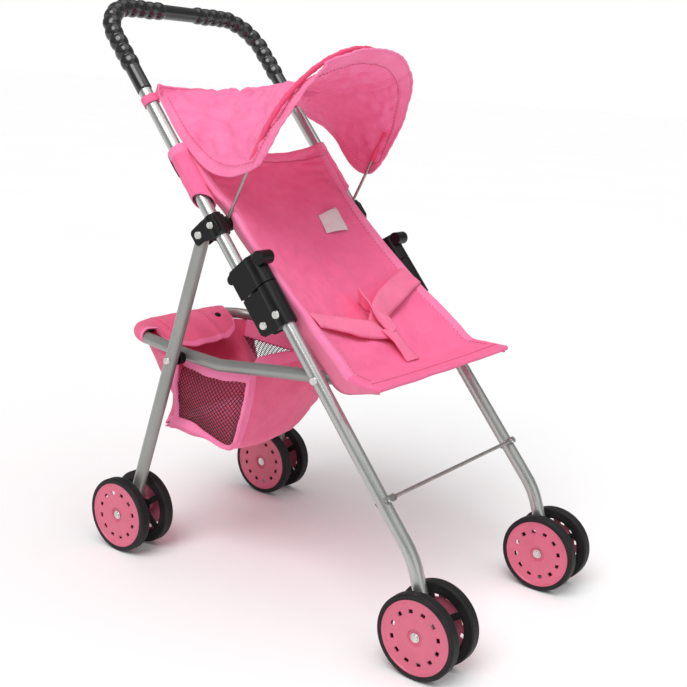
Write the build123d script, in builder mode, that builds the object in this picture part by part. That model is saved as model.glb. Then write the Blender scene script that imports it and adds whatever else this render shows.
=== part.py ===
from build123d import *
import math
import os

os.makedirs("parts", exist_ok=True)

# ---------------------------------------------------------------- dimensions
# millimetres, +Z up, -Y forward, right side of the stroller is -X
TUBE_R = 6.35            # half-inch frame tube
TUBE_WALL = 1.0
LEG_X0 = 111.316         # distance of the leg plane from the middle, at the floor
LEG_LEAN = 0.01292       # the leg planes lean inwards with height
Y_SHIFT = 159.6
TY, TZ = 0.65256, 0.75774            # direction of the parallel tubes, upwards
NY, NZ = -TZ, TY                      # square to them, forwards
FOLD_Y, FOLD_Z = -165.57 + Y_SHIFT, 261.92      # fold pivot, on the handle tube
TUBE_GAP = 19.2          # front leg axis ahead of the handle tube axis
FRONT_AXLE_Y, REAR_AXLE_Y, AXLE_Z = -355.9 + Y_SHIFT, 0.0 + Y_SHIFT, 37.5
WHEEL_R = 37.5
PAIR_X = 111.0           # middle of a wheel pair
WHEEL_IN, WHEEL_OUT = 10.9, 21.5     # faces of a wheel, from the middle of its pair
AXLE_R = 2.0
RIVET_R = 2.2
HOLE_R = 2.25
HEAD_R = 4.0
BAR_PIVOT = (-223.63 + Y_SHIFT, 223.97)     # basket bar on the front legs
HUB = (-97.32 + Y_SHIFT, 341.75)            # canopy pivot, through the upper bracket
LEG_PIVOT = (-82.75 + Y_SHIFT, 330.74)      # rear leg on the upper bracket
LINK = (-47.28 + Y_SHIFT, 205.05)           # rear leg to basket bar
HANDLE_TOP_S = 354.5
HANDLE_CORNER_R = 40.0
GRIP_START_S = 253.6
FOOT_ROD = (-307.37 + Y_SHIFT, 139.01)
FOOT_ROD_R = 1.75
BOW_X, BOW_R = 94.5, 1.5
BOW_STRAIGHT = 86.0
BOW_Y, BOW_Z = -0.4263, 0.9046              # direction of the bow's plane from the hub
BAR_R = 6.0


def leg_x(z):
    return LEG_X0 - LEG_LEAN * z


def sn(s, n):
    """Point in the side plane: s up along the tubes, n forwards, from the fold pivot."""
    return (FOLD_Y + s * TY + n * NY, FOLD_Z + s * TZ + n * NZ)


def p3(s, n, side=-1.0):
    y, z = sn(s, n)
    return (side * leg_x(z), y, z)


def cross(y, z, x=0.0):
    """Location whose Z axis lies along the object's X axis."""
    return Location((x, y, z), (0, 90, 0))


def save(part, label):
    part.label = label
    export_step(part, "parts/" + label + ".step")


def rounded_plate(points, x_low, x_high, corner, edge):
    """Side plate from x_low to x_high with rounded corners and softened edges."""
    with BuildPart(mode=Mode.PRIVATE) as plate:
        with BuildSketch(Plane.YZ.offset(x_low)):
            with BuildLine():
                FilletPolyline(*points, radius=corner, close=True)
            make_face()
        extrude(amount=x_high - x_low)
        sides = plate.faces().sort_by(Axis.X)
        if edge:
            fillet(sides[0].edges() + sides[-1].edges(), edge)
    return plate.part


# ---------------------------------------------------------------- front frame
leg_top = p3(29.0, TUBE_GAP)
leg_bend = (-leg_x(94.2), -335.5 + Y_SHIFT, 94.2)
dyl, dzl = FRONT_AXLE_Y - leg_bend[1], AXLE_Z - leg_bend[2]
dll = math.hypot(dyl, dzl)
leg_end = (-leg_x(28.6), FRONT_AXLE_Y + 9.0 * dyl / dll, AXLE_Z + 9.0 * dzl / dll)

with BuildPart() as front_leg_right:
    with BuildLine() as front_leg_line:
        FilletPolyline(leg_top, leg_bend, leg_end, radius=70)
    with BuildSketch(Plane(origin=front_leg_line.line @ 0, z_dir=front_leg_line.line % 0)):
        Circle(TUBE_R)
        Circle(TUBE_R - TUBE_WALL, mode=Mode.SUBTRACT)
    sweep()
    with Locations(cross(FRONT_AXLE_Y, AXLE_Z, -PAIR_X)):
        Cylinder(AXLE_R + 0.03, 30, mode=Mode.SUBTRACT)
    with Locations(cross(*sn(0.2, 19.5), -leg_x(275))):
        Cylinder(HOLE_R, 30, mode=Mode.SUBTRACT)
    with Locations(cross(*BAR_PIVOT, -leg_x(224))):
        Cylinder(HOLE_R, 30, mode=Mode.SUBTRACT)
    foot_plane = Plane(origin=(-leg_x(139), FOOT_ROD[0], FOOT_ROD[1]), x_dir=(1, 0, 0), z_dir=(0, NY, NZ))
    with Locations(foot_plane.location):
        Cylinder(1.65, 40, mode=Mode.SUBTRACT)
save(front_leg_right.part, "front_leg_right")

with BuildPart() as front_leg_left:
    mirror(front_leg_right.part, about=Plane.YZ)
save(front_leg_left.part, "front_leg_left")

with BuildPart() as footrest_rod:
    with Locations(cross(*FOOT_ROD)):
        Cylinder(FOOT_ROD_R, 2 * 101.5)
    for side in (-1, 1):
        with BuildSketch(Plane(origin=(side * 107.5, FOOT_ROD[0], FOOT_ROD[1]), x_dir=(1, 0, 0), z_dir=(0, NY, NZ)).offset(-1.55)):
            SlotOverall(15.5, 6.4)
        extrude(amount=1.5)
        with Locations(Plane(origin=(side * leg_x(139), FOOT_ROD[0], FOOT_ROD[1]), x_dir=(1, 0, 0), z_dir=(0, NY, NZ)).location):
            Cylinder(1.65, 8, mode=Mode.SUBTRACT)
save(footrest_rod.part, "footrest_rod")

with BuildPart() as footrest_rivets:
    for side in (-1, 1):
        base = Plane(origin=(side * leg_x(139), FOOT_ROD[0], FOOT_ROD[1]), x_dir=(1, 0, 0), z_dir=(0, NY, NZ))
        with BuildSketch(base.offset(-16.6)):
            Circle(1.6)
        extrude(amount=16.6)
        with BuildSketch(base.offset(0.0)):
            Circle(3.3)
        extrude(amount=1.2, taper=25)
        with BuildSketch(base.offset(-15.7)):
            Circle(2.8)
        extrude(amount=1.1)
save(footrest_rivets.part, "footrest_rivets")

BX = leg_x(272.0)
with BuildPart() as hinge_bracket_right:
    add(rounded_plate([sn(-9, -5), sn(-5.5, -8.4), sn(29.6, -8.4), sn(29.6, 24.0), sn(-11, 24.0), sn(-11, 8)],
                      -BX - 8.0, -BX + 8.0, 2.4, 1.5))
    with BuildLine() as lobe_line:
        Line(p3(-11, TUBE_GAP), p3(29.6, TUBE_GAP))
    with BuildSketch(Plane(origin=lobe_line.line @ 0, z_dir=lobe_line.line % 0)):
        Circle(9.4)
    sweep()
    with BuildSketch(Plane.YZ.offset(-BX - 6.8)):
        with BuildLine():
            Polyline(sn(-20, -14), sn(40, -14), sn(40, 9.6), sn(-20, 9.6), close=True)
        make_face()
    extrude(amount=13.6, mode=Mode.SUBTRACT)
    with BuildLine() as lobe_bore:
        Line(p3(-14, TUBE_GAP), p3(32, TUBE_GAP))
    with BuildSketch(Plane(origin=lobe_bore.line @ 0, z_dir=lobe_bore.line % 0)):
        Circle(TUBE_R + 0.04)
    sweep(mode=Mode.SUBTRACT)
    with Locations(cross(*sn(0.2, 19.5), -BX), cross(FOLD_Y, FOLD_Z, -BX)):
        Cylinder(HOLE_R, 40, mode=Mode.SUBTRACT)
save(hinge_bracket_right.part, "hinge_bracket_right")

with BuildPart() as hinge_bracket_left:
    mirror(hinge_bracket_right.part, about=Plane.YZ)
save(hinge_bracket_left.part, "hinge_bracket_left")


def rivet_at(y, z, x_out, x_in, head=HEAD_R, rise=1.3):
    """Cross rivet on the right side, from the outer face to the inner face, with two domed heads."""
    with BuildPart(mode=Mode.PRIVATE) as rivet:
        with BuildSketch(Plane.YZ.offset(-x_out)):
            with Locations((y, z)):
                Circle(RIVET_R)
        extrude(amount=x_out - x_in)
        with BuildSketch(Plane.YZ.offset(-x_out - 0.03)):
            with Locations((y, z)):
                Circle(head)
        extrude(amount=-rise, taper=28)
        with BuildSketch(Plane.YZ.offset(-x_in + 0.03)):
            with Locations((y, z)):
                Circle(head)
        extrude(amount=rise, taper=28)
        with Locations(cross(y, z, -x_out - 0.015), cross(y, z, -x_in + 0.015)):
            Cylinder(RIVET_R, 0.4)
    return rivet.part


with BuildPart() as bracket_rivets:
    add(rivet_at(*sn(0.2, 19.5), BX + 9.55, BX - 9.55))
    mirror(about=Plane.YZ)
save(bracket_rivets.part, "bracket_rivets")

with BuildPart() as fold_pivot_rivets:
    add(rivet_at(FOLD_Y, FOLD_Z, BX + 8.0, BX - 8.0))
    mirror(about=Plane.YZ)
save(fold_pivot_rivets.part, "fold_pivot_rivets")

PX = leg_x(224.0)
with BuildPart() as basket_pivot_rivets:
    add(rivet_at(*BAR_PIVOT, PX + TUBE_R, 86.4))
    mirror(about=Plane.YZ)
save(basket_pivot_rivets.part, "basket_pivot_rivets")

with BuildPart() as seat_front_wire:
    with BuildLine() as seat_wire_line:
        FilletPolyline(
            (-88.1, BAR_PIVOT[0] - 3.8, BAR_PIVOT[1] + 0.2), (-88.1, -246.0 + Y_SHIFT, 225.0),
            (-104.0, -262.0 + Y_SHIFT, 227.6), (-105.0, -285.0 + Y_SHIFT, 229.2),
            (105.0, -285.0 + Y_SHIFT, 229.2), (104.0, -262.0 + Y_SHIFT, 227.6),
            (88.1, -246.0 + Y_SHIFT, 225.0), (88.1, BAR_PIVOT[0] - 3.8, BAR_PIVOT[1] + 0.2), radius=9)
    with BuildSketch(Plane(origin=seat_wire_line.line @ 0, z_dir=seat_wire_line.line % 0)):
        Circle(1.5)
    sweep()
    for side in (-1, 1):
        with Locations(cross(*BAR_PIVOT, side * 88.3)):
            Cylinder(5.2, 2.0)
            Cylinder(HOLE_R, 6.0, mode=Mode.SUBTRACT)
save(seat_front_wire.part, "seat_front_wire")


def axle(y):
    with BuildPart(mode=Mode.PRIVATE) as rod:
        with Locations(cross(y, AXLE_Z, -PAIR_X)):
            Cylinder(AXLE_R, 2 * 20.1)
        for end in (-1, 1):
            with Locations(cross(y, AXLE_Z, -PAIR_X + end * 19.85)):
                Cylinder(4.2, 0.9)
            with Locations(cross(y, AXLE_Z, -PAIR_X + end * 20.5)):
                Cylinder(2.9, 0.8)
    return rod.part


with BuildPart() as front_axle_right:
    add(axle(FRONT_AXLE_Y))
save(front_axle_right.part, "front_axle_right")
with BuildPart() as front_axle_left:
    mirror(front_axle_right.part, about=Plane.YZ)
save(front_axle_left.part, "front_axle_left")

# seat: a sling between the tubes, with a shallow base ahead of the front legs
SEAT_T = 2.0


def sheet_profile(points, thick):
    """Closed outline of a sheet that follows the points, thickness upwards-forwards."""
    out = []
    for i, (y, z) in enumerate(points):
        a = points[max(i - 1, 0)]
        b = points[min(i + 1, len(points) - 1)]
        ty, tz = b[0] - a[0], b[1] - a[1]
        tl = math.hypot(ty, tz)
        out.append((y + thick * tz / tl * -1.0, z + thick * ty / tl))
    return points + out[::-1]


# points run from the front edge up to the back, so that the thickness grows forwards
seat_points = [(-289.5 + Y_SHIFT, 231.8), (-270.0 + Y_SHIFT, 232.0), (-252.5 + Y_SHIFT, 233.4)]
seat_points += [sn(-58, 41.5), sn(-30, 35.5), sn(0, 28.5), sn(30, 22.0), sn(60, 16.6), sn(90, 13.6), sn(112.6, 12.4)]
with BuildPart() as seat_base_cover:
    with BuildSketch(Plane.YZ.offset(-90.0)):
        with BuildLine():
            Polyline(*sheet_profile(seat_points, SEAT_T), close=True)
        make_face()
    extrude(amount=180.0)
    front_points = seat_points[:4]
    with BuildSketch(Plane.YZ.offset(-106.0)):
        with BuildLine():
            Polyline(*sheet_profile(front_points, SEAT_T), close=True)
        make_face()
    extrude(amount=212.0)
save(seat_base_cover.part, "seat_base_cover")

strap_lift = 3.1
belt_points = [sn(-30, 35.5 + strap_lift), sn(-24, 34.2 + strap_lift), sn(-12, 31.4 + strap_lift), sn(-6, 30.0 + strap_lift)]
with BuildPart() as lap_belt:
    with BuildSketch(Plane.YZ.offset(-88.0)):
        with BuildLine():
            Polyline(*sheet_profile(belt_points, 1.2), close=True)
        make_face()
    extrude(amount=176.0)
save(lap_belt.part, "lap_belt")

crotch_points = [(-276.0 + Y_SHIFT, 232.0 + strap_lift), (-252.5 + Y_SHIFT, 233.6 + strap_lift), sn(-58, 41.5 + strap_lift), sn(-34, 36.4 + strap_lift)]
with BuildPart() as crotch_strap:
    with BuildSketch(Plane.YZ.offset(-10.0)):
        with BuildLine():
            Polyline(*sheet_profile(crotch_points, 1.2), close=True)
        make_face()
    extrude(amount=20.0)
save(crotch_strap.part, "crotch_strap")

# ---------------------------------------------------------------- handle frame
top_r = p3(HANDLE_TOP_S, 0.0)
low_r = p3(-6.4, 0.0)
with BuildPart() as handle_tube:
    with BuildLine() as handle_line:
        FilletPolyline(low_r, top_r, (-top_r[0], top_r[1], top_r[2]), (-low_r[0], low_r[1], low_r[2]), radius=HANDLE_CORNER_R)
    with BuildSketch(Plane(origin=handle_line.line @ 0, z_dir=handle_line.line % 0)):
        Circle(TUBE_R)
        Circle(TUBE_R - TUBE_WALL, mode=Mode.SUBTRACT)
    sweep()
    for side in (-1, 1):
        with Locations(cross(FOLD_Y, FOLD_Z, side * BX)):
            Cylinder(HOLE_R, 30, mode=Mode.SUBTRACT)
        with Locations(cross(*HUB, side * leg_x(342))):
            Cylinder(HOLE_R, 30, mode=Mode.SUBTRACT)
save(handle_tube.part, "handle_tube")

# ribbed grip: a sleeve round the top of the handle with beads along it
grip_a = p3(GRIP_START_S, 0.0)
with BuildPart() as handle_grip:
    with BuildLine() as grip_line:
        FilletPolyline(grip_a, top_r, (-top_r[0], top_r[1], top_r[2]), (-grip_a[0], grip_a[1], grip_a[2]), radius=HANDLE_CORNER_R)
    with BuildSketch(Plane(origin=grip_line.line @ 0, z_dir=grip_line.line % 0)):
        Circle(7.3)
        Circle(TUBE_R + 0.04, mode=Mode.SUBTRACT)
    sweep()
    grip_wire = grip_line.wires()[0]
    grip_len = grip_wire.length
    bead_pitch = 11.6
    bead_first = 32.5
    beads = []
    for i in range(12):
        for u in (bead_first + i * bead_pitch, grip_len - bead_first - i * bead_pitch):
            beads.append(Plane(origin=grip_wire.position_at(u / grip_len), z_dir=grip_wire.tangent_at(u / grip_len)))
    for bead_plane in beads:
        with BuildSketch(Plane(origin=bead_plane.origin, x_dir=bead_plane.x_dir, z_dir=bead_plane.z_dir).offset(-3.9)):
            Circle(8.7)
            Circle(TUBE_R + 0.4, mode=Mode.SUBTRACT)
        extrude(amount=7.8)
save(handle_grip.part, "handle_grip")

CX = leg_x(340.0)
with BuildPart() as upper_bracket_right:
    with BuildLine() as ring_line:
        Line(p3(93, 0), p3(114, 0))
    with BuildSketch(Plane(origin=ring_line.line @ 0, z_dir=ring_line.line % 0)):
        Circle(8.6)
    sweep()
    add(rounded_plate([sn(93.6, 7.4), sn(93.6, -6), sn(97.8, -16), sn(98.2, -26.2), sn(114.4, -26.2), sn(114.8, -8), sn(113.6, 7.4)],
                      -CX - 8.1, -CX + 8.1, 4.2, 1.4))
    with BuildSketch(Plane.YZ.offset(-CX - 6.7)):
        with BuildLine():
            Polyline(sn(85, -7.9), sn(125, -7.9), sn(125, -30), sn(85, -30), close=True)
        make_face()
    extrude(amount=13.4, mode=Mode.SUBTRACT)
    with BuildLine() as ring_bore:
        Line(p3(88, 0), p3(120, 0))
    with BuildSketch(Plane(origin=ring_bore.line @ 0, z_dir=ring_bore.line % 0)):
        Circle(TUBE_R + 0.04)
    sweep(mode=Mode.SUBTRACT)
    with Locations(cross(*HUB, -CX), cross(*LEG_PIVOT, -CX)):
        Cylinder(HOLE_R, 40, mode=Mode.SUBTRACT)
save(upper_bracket_right.part, "upper_bracket_right")
with BuildPart() as upper_bracket_left:
    mirror(upper_bracket_right.part, about=Plane.YZ)
save(upper_bracket_left.part, "upper_bracket_left")

with BuildPart() as upper_bracket_rivets:
    add(rivet_at(*HUB, CX + 8.6, 88.2, head=3.6))
    mirror(about=Plane.YZ)
save(upper_bracket_rivets.part, "upper_bracket_rivets")
with BuildPart() as leg_pivot_rivets:
    add(rivet_at(*LEG_PIVOT, CX + 8.1, CX - 8.1))
    mirror(about=Plane.YZ)
save(leg_pivot_rivets.part, "leg_pivot_rivets")

back_points = [sn(128, 3.0), sn(150, 2.2), sn(187, 0.6)]
back_low = [sn(114.4, 11.6), sn(120, 7.6), sn(128, 3.0), sn(134, 2.8)]
with BuildPart() as seat_back_cover:
    with BuildSketch(Plane.YZ.offset(-98.2)):
        with BuildLine():
            Polyline(*sheet_profile(back_points, SEAT_T), close=True)
        make_face()
    extrude(amount=196.4)
    with BuildSketch(Plane.YZ.offset(-90.0)):
        with BuildLine():
            Polyline(*sheet_profile(back_low, SEAT_T), close=True)
        make_face()
    extrude(amount=180.0)
    for side in (-1, 1):
        with BuildLine() as sleeve_line:
            Line(p3(129, 0, side), p3(186, 0, side))
        with BuildSketch(Plane(origin=sleeve_line.line @ 0, z_dir=sleeve_line.line % 0)):
            Circle(8.2)
        sweep()
    for side in (-1, 1):
        with BuildLine() as sleeve_bore:
            Line(p3(120, 0, side), p3(196, 0, side))
        with BuildSketch(Plane(origin=sleeve_bore.line @ 0, z_dir=sleeve_bore.line % 0)):
            Circle(TUBE_R + 0.3)
        sweep(mode=Mode.SUBTRACT)
save(seat_back_cover.part, "seat_back_cover")

with BuildPart() as seat_sleeve_tabs:
    for side in (-1, 1):
        ty, tz = sn(175, -8.8)
        with BuildSketch(Plane(origin=(side * leg_x(tz), ty, tz), x_dir=(1, 0, 0), z_dir=(0, -NY, -NZ))):
            RectangleRounded(9, 22, 1.5)
        extrude(amount=1.6)
save(seat_sleeve_tabs.part, "seat_sleeve_tabs")

with BuildPart() as canopy_rear_ties:
    for side in (-1, 1):
        with BuildLine() as tie_line:
            Line(p3(237.5, 0, side), p3(247.5, 0, side))
        with BuildSketch(Plane(origin=tie_line.line @ 0, z_dir=tie_line.line % 0)):
            Circle(7.9)
            Circle(TUBE_R + 0.3, mode=Mode.SUBTRACT)
        sweep()
save(canopy_rear_ties.part, "canopy_rear_ties")

with BuildPart() as care_label:
    with BuildSketch(Plane.YZ.offset(36.0)):
        with BuildLine():
            Polyline(*sheet_profile([sn(76, 15.2 + strap_lift - 0.8), sn(106, 12.9 + strap_lift - 0.8)], 0.5), close=True)
        make_face()
    extrude(amount=26.0)
save(care_label.part, "care_label")


# ---------------------------------------------------------------- lock sleeves
def lock_sleeve_solid():
    SX = leg_x(295.0)
    with BuildPart(mode=Mode.PRIVATE) as sleeve:
        with BuildSketch(Plane.YZ.offset(-SX - 8.4)):
            with BuildLine():
                Polyline(sn(30.7, -8.6), sn(56, -8.6), sn(58.6, -5), sn(59.2, 19.2), sn(30.7, 19.2), close=True)
            make_face()
        extrude(amount=16.8)
        with BuildLine() as front_lobe:
            Line(p3(30.7, TUBE_GAP), p3(58.4, TUBE_GAP))
        with BuildSketch(Plane(origin=front_lobe.line @ 0, z_dir=front_lobe.line % 0)):
            Circle(9.4)
        sweep()
        with Locations(cross(*sn(51.5, 30.5), -SX)):
            Cylinder(6.4, 15.0)
        with Locations(cross(*sn(52.5, -9.0), -SX)):
            Cylinder(4.6, 14.0)
        with BuildLine() as slide_bore:
            Line(p3(25, 0), p3(66, 0))
        with BuildSketch(Plane(origin=slide_bore.line @ 0, z_dir=slide_bore.line % 0)):
            Circle(TUBE_R + 0.08)
        sweep(mode=Mode.SUBTRACT)
        with BuildLine() as catch_bore:
            Line(p3(25, TUBE_GAP), p3(52, TUBE_GAP))
        with BuildSketch(Plane(origin=catch_bore.line @ 0, z_dir=catch_bore.line % 0)):
            Circle(TUBE_R + 0.5)
        sweep(mode=Mode.SUBTRACT)
    return sleeve.part


with BuildPart() as lock_sleeve_right:
    add(lock_sleeve_solid())
save(lock_sleeve_right.part, "lock_sleeve_right")
with BuildPart() as lock_sleeve_left:
    mirror(lock_sleeve_right.part, about=Plane.YZ)
save(lock_sleeve_left.part, "lock_sleeve_left")


# ---------------------------------------------------------------- canopy
def bow_point(x, d):
    return (x, HUB[0] + d * BOW_Y, HUB[1] + d * BOW_Z)


with BuildPart() as canopy_bow_wire:
    with BuildLine() as bow_line:
        l1 = Line(bow_point(-BOW_X, 3.2), bow_point(-BOW_X, BOW_STRAIGHT))
        arc = ThreePointArc(bow_point(-BOW_X, BOW_STRAIGHT), bow_point(0, BOW_STRAIGHT + BOW_X), bow_point(BOW_X, BOW_STRAIGHT))
        l2 = Line(bow_point(BOW_X, BOW_STRAIGHT), bow_point(BOW_X, 3.2))
    with BuildSketch(Plane(origin=bow_point(-BOW_X, 3.2), z_dir=(0, BOW_Y, BOW_Z))):
        Circle(BOW_R)
    sweep()
save(canopy_bow_wire.part, "canopy_bow_wire")

with BuildPart() as canopy_hub_right:
    with BuildSketch(Plane.YZ.offset(-98.0)):
        with Locations(HUB):
            Circle(7.0)
    extrude(amount=9.5)
    fillet(canopy_hub_right.edges().filter_by(GeomType.CIRCLE), 0.8)
    with Locations(cross(*HUB, -93.0)):
        Cylinder(RIVET_R + 0.08, 30, mode=Mode.SUBTRACT)
    with BuildLine() as wire_hole:
        Line(bow_point(-BOW_X, 3.0), bow_point(-BOW_X, 12.0))
    with BuildSketch(Plane(origin=wire_hole.line @ 0, z_dir=wire_hole.line % 0)):
        Circle(BOW_R + 0.03)
    sweep(mode=Mode.SUBTRACT)
save(canopy_hub_right.part, "canopy_hub_right")
with BuildPart() as canopy_hub_left:
    mirror(canopy_hub_right.part, about=Plane.YZ)
save(canopy_hub_left.part, "canopy_hub_left")

# cover: a sheet from the straight rear hem to the arched front hem
CANOPY_COLS, CANOPY_ROWS, CANOPY_T = 20, 5, 1.6
ARCH_R = BOW_X + BOW_R + 0.5
REAR_Y, REAR_Z, REAR_X = -22.0 + Y_SHIFT, 458.5, 103.0


def arch(u):
    """Front edge, u from -1 to 1 along the bow: leg, semicircle, leg."""
    leg = 31.0
    total = 2 * leg + math.pi * ARCH_R
    t = (u + 1) / 2 * total
    if t < leg:
        return (-ARCH_R, BOW_STRAIGHT - leg + t)
    if t > total - leg:
        return (ARCH_R, BOW_STRAIGHT - leg + (total - t))
    a = (t - leg) / ARCH_R
    return (-ARCH_R * math.cos(a), BOW_STRAIGHT + ARCH_R * math.sin(a))


def canopy_point(u, v):
    ax, ad = arch(u)
    fx, fy, fz = bow_point(ax, ad)
    ahead = 6.0 if v > 0.99 else 0.0
    fy -= ahead * 0.9
    fz -= ahead * 0.4
    w = max(0.0, abs(u) - 0.55) / 0.45
    rx, ry, rz = REAR_X * max(-1.0, min(1.0, u / 0.62)), REAR_Y, REAR_Z
    if abs(u) > 0.62:
        k = (abs(u) - 0.62) / 0.38
        ry -= 3.0 * k
        rz -= 6.0 * k
    x = rx + (fx - rx) * v
    y = ry + (fy - ry) * v
    z = rz + (fz - rz) * v
    z -= 30.0 * w * w * math.sin(math.pi * v) * 0.8
    y += 8.0 * w * w * math.sin(math.pi * v)
    return Vector(x, y, z)


def canopy_normal(u, v):
    e = 0.01
    a = canopy_point(min(u + e, 1), v) - canopy_point(max(u - e, -1), v)
    b = canopy_point(u, min(v + e, 0.98)) - canopy_point(u, max(v - e, 0))
    n = a.cross(b)
    return n.normalized()


outer, inner = [], []
for j in range(CANOPY_ROWS + 1):
    v = 0.98 * j / CANOPY_ROWS
    ro, ri = [], []
    for i in range(CANOPY_COLS + 1):
        u = -1 + 2 * i / CANOPY_COLS
        p = canopy_point(u, v)
        n = canopy_normal(u, v)
        ri.append(p)
        ro.append(p + n * CANOPY_T)
    inner.append(ri)
    outer.append(ro)


def tri(a, b, c):
    return Face(Wire.make_polygon([a, b, c], close=True))


faces = []
for j in range(CANOPY_ROWS):
    for i in range(CANOPY_COLS):
        for g, flip in ((outer, False), (inner, True)):
            a, b, c, d = g[j][i], g[j][i + 1], g[j + 1][i + 1], g[j + 1][i]
            faces.append(tri(a, c, b) if flip else tri(a, b, c))
            faces.append(tri(a, d, c) if flip else tri(a, c, d))
rim_in = inner[0] + [r[-1] for r in inner[1:]] + inner[-1][-2::-1] + [r[0] for r in inner[-2:0:-1]]
rim_out = outer[0] + [r[-1] for r in outer[1:]] + outer[-1][-2::-1] + [r[0] for r in outer[-2:0:-1]]
for k in range(len(rim_in)):
    a, b = rim_in[k], rim_in[(k + 1) % len(rim_in)]
    c, d = rim_out[(k + 1) % len(rim_in)], rim_out[k]
    faces.append(tri(a, b, c))
    faces.append(tri(a, c, d))
with BuildPart() as canopy_cover:
    add(Solid(Shell(faces)))
save(canopy_cover.part, "canopy_cover")

# ---------------------------------------------------------------- rear legs
ly, lz = REAR_AXLE_Y - LEG_PIVOT[0], AXLE_Z - LEG_PIVOT[1]
ll = math.hypot(ly, lz)
ly, lz = ly / ll, lz / ll
rl_top = (-leg_x(LEG_PIVOT[1]), LEG_PIVOT[0] - 6.3 * ly, LEG_PIVOT[1] - 6.3 * lz)
rl_end = (-leg_x(AXLE_Z), REAR_AXLE_Y + 9.0 * ly, AXLE_Z + 9.0 * lz)
with BuildPart() as rear_leg_right:
    with BuildLine() as rear_leg_line:
        Line(rl_top, rl_end)
    with BuildSketch(Plane(origin=rear_leg_line.line @ 0, z_dir=rear_leg_line.line % 0)):
        Circle(TUBE_R)
        Circle(TUBE_R - TUBE_WALL, mode=Mode.SUBTRACT)
    sweep()
    with Locations(cross(REAR_AXLE_Y, AXLE_Z, -PAIR_X)):
        Cylinder(AXLE_R + 0.03, 30, mode=Mode.SUBTRACT)
    with Locations(cross(*LEG_PIVOT, -CX)):
        Cylinder(HOLE_R, 30, mode=Mode.SUBTRACT)
    with Locations(cross(*LINK, -leg_x(205))):
        Cylinder(HOLE_R, 30, mode=Mode.SUBTRACT)
save(rear_leg_right.part, "rear_leg_right")
with BuildPart() as rear_leg_left:
    mirror(rear_leg_right.part, about=Plane.YZ)
save(rear_leg_left.part, "rear_leg_left")

with BuildPart() as leg_spacers:
    with BuildSketch(Plane.YZ.offset(-leg_x(205) + TUBE_R + 0.15)):
        with Locations(LINK):
            Circle(6.2)
            Circle(HOLE_R, mode=Mode.SUBTRACT)
    extrude(amount=leg_x(205) - TUBE_R - 0.15 - 95.2)
    mirror(about=Plane.YZ)
save(leg_spacers.part, "leg_spacers")

with BuildPart() as leg_link_rivets:
    with BuildSketch(Plane.YZ.offset(-leg_x(205) - TUBE_R)):
        with Locations(LINK):
            Circle(RIVET_R)
    extrude(amount=leg_x(205) + TUBE_R - 95.6)
    with BuildSketch(Plane.YZ.offset(-leg_x(205) - TUBE_R - 0.03)):
        with Locations(LINK):
            Circle(HEAD_R)
    extrude(amount=-1.3, taper=28)
    with Locations(cross(*LINK, -leg_x(205) - TUBE_R)):
        Cylinder(RIVET_R, 0.4)
    mirror(about=Plane.YZ)
save(leg_link_rivets.part, "leg_link_rivets")

with BuildPart() as rear_axle_right:
    add(axle(REAR_AXLE_Y))
save(rear_axle_right.part, "rear_axle_right")
with BuildPart() as rear_axle_left:
    mirror(rear_axle_right.part, about=Plane.YZ)
save(rear_axle_left.part, "rear_axle_left")

# ---------------------------------------------------------------- basket
bar_pts = [(-95.8, -231.0 + Y_SHIFT, 224.9), (-95.8, -98.0 + Y_SHIFT, 208.2), (-88.2, -47.3 + Y_SHIFT, 207.0), (-79.0, 44.0 + Y_SHIFT, 212.5)]
bar_pts += [(-x, y, z) for x, y, z in bar_pts[::-1]]
with BuildPart() as basket_bar:
    with BuildLine() as bar_line:
        FilletPolyline(*bar_pts, radius=36)
    with BuildSketch(Plane(origin=bar_line.line @ 0, z_dir=bar_line.line % 0)):
        Circle(BAR_R)
        Circle(BAR_R - TUBE_WALL, mode=Mode.SUBTRACT)
    sweep()
    for side in (-1, 1):
        with Locations(cross(*BAR_PIVOT, side * 95.8)):
            Cylinder(HOLE_R, 30, mode=Mode.SUBTRACT)
save(basket_bar.part, "basket_bar")


def frustum(y0, y1, w0, w1, z, by0, by1, bw, bz, mode=Mode.ADD):
    """Tapered box: front width w0 at y0, rear width w1 at y1 at height z; width bw at the bottom."""
    with BuildSketch(Plane.XY.offset(z)) as upper:
        with BuildLine():
            Polyline((-w0, y0), (w0, y0), (w1, y1), (-w1, y1), close=True)
        make_face()
    with BuildSketch(Plane.XY.offset(bz)) as lower:
        with BuildLine():
            Polyline((-bw, by0), (bw, by0), (bw, by1), (-bw, by1), close=True)
        make_face()
    loft(sections=[upper.sketch.face(), lower.sketch.face()], mode=mode)


BF, BR = -132.0 + Y_SHIFT, 33.0 + Y_SHIFT
with BuildPart() as basket_fabric:
    frustum(BF, BR, 88.5, 70.0, 200.5, -104.0 + Y_SHIFT, -26.0 + Y_SHIFT, 80.0, 121.0)
    frustum(BF + 1.8, BR - 1.8, 86.7, 68.2, 200.6, -104.0 + Y_SHIFT + 1.8, -26.0 + Y_SHIFT - 1.8, 78.2, 122.8, mode=Mode.SUBTRACT)
    with BuildSketch(Plane.YZ.offset(-120)):
        with BuildLine():
            Polyline((-119 + Y_SHIFT, 190), (-45 + Y_SHIFT, 190), (-40 + Y_SHIFT, 170), (-42 + Y_SHIFT, 136), (-97 + Y_SHIFT, 134), close=True)
        make_face()
    extrude(amount=240, mode=Mode.SUBTRACT)
save(basket_fabric.part, "basket_fabric")


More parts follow.
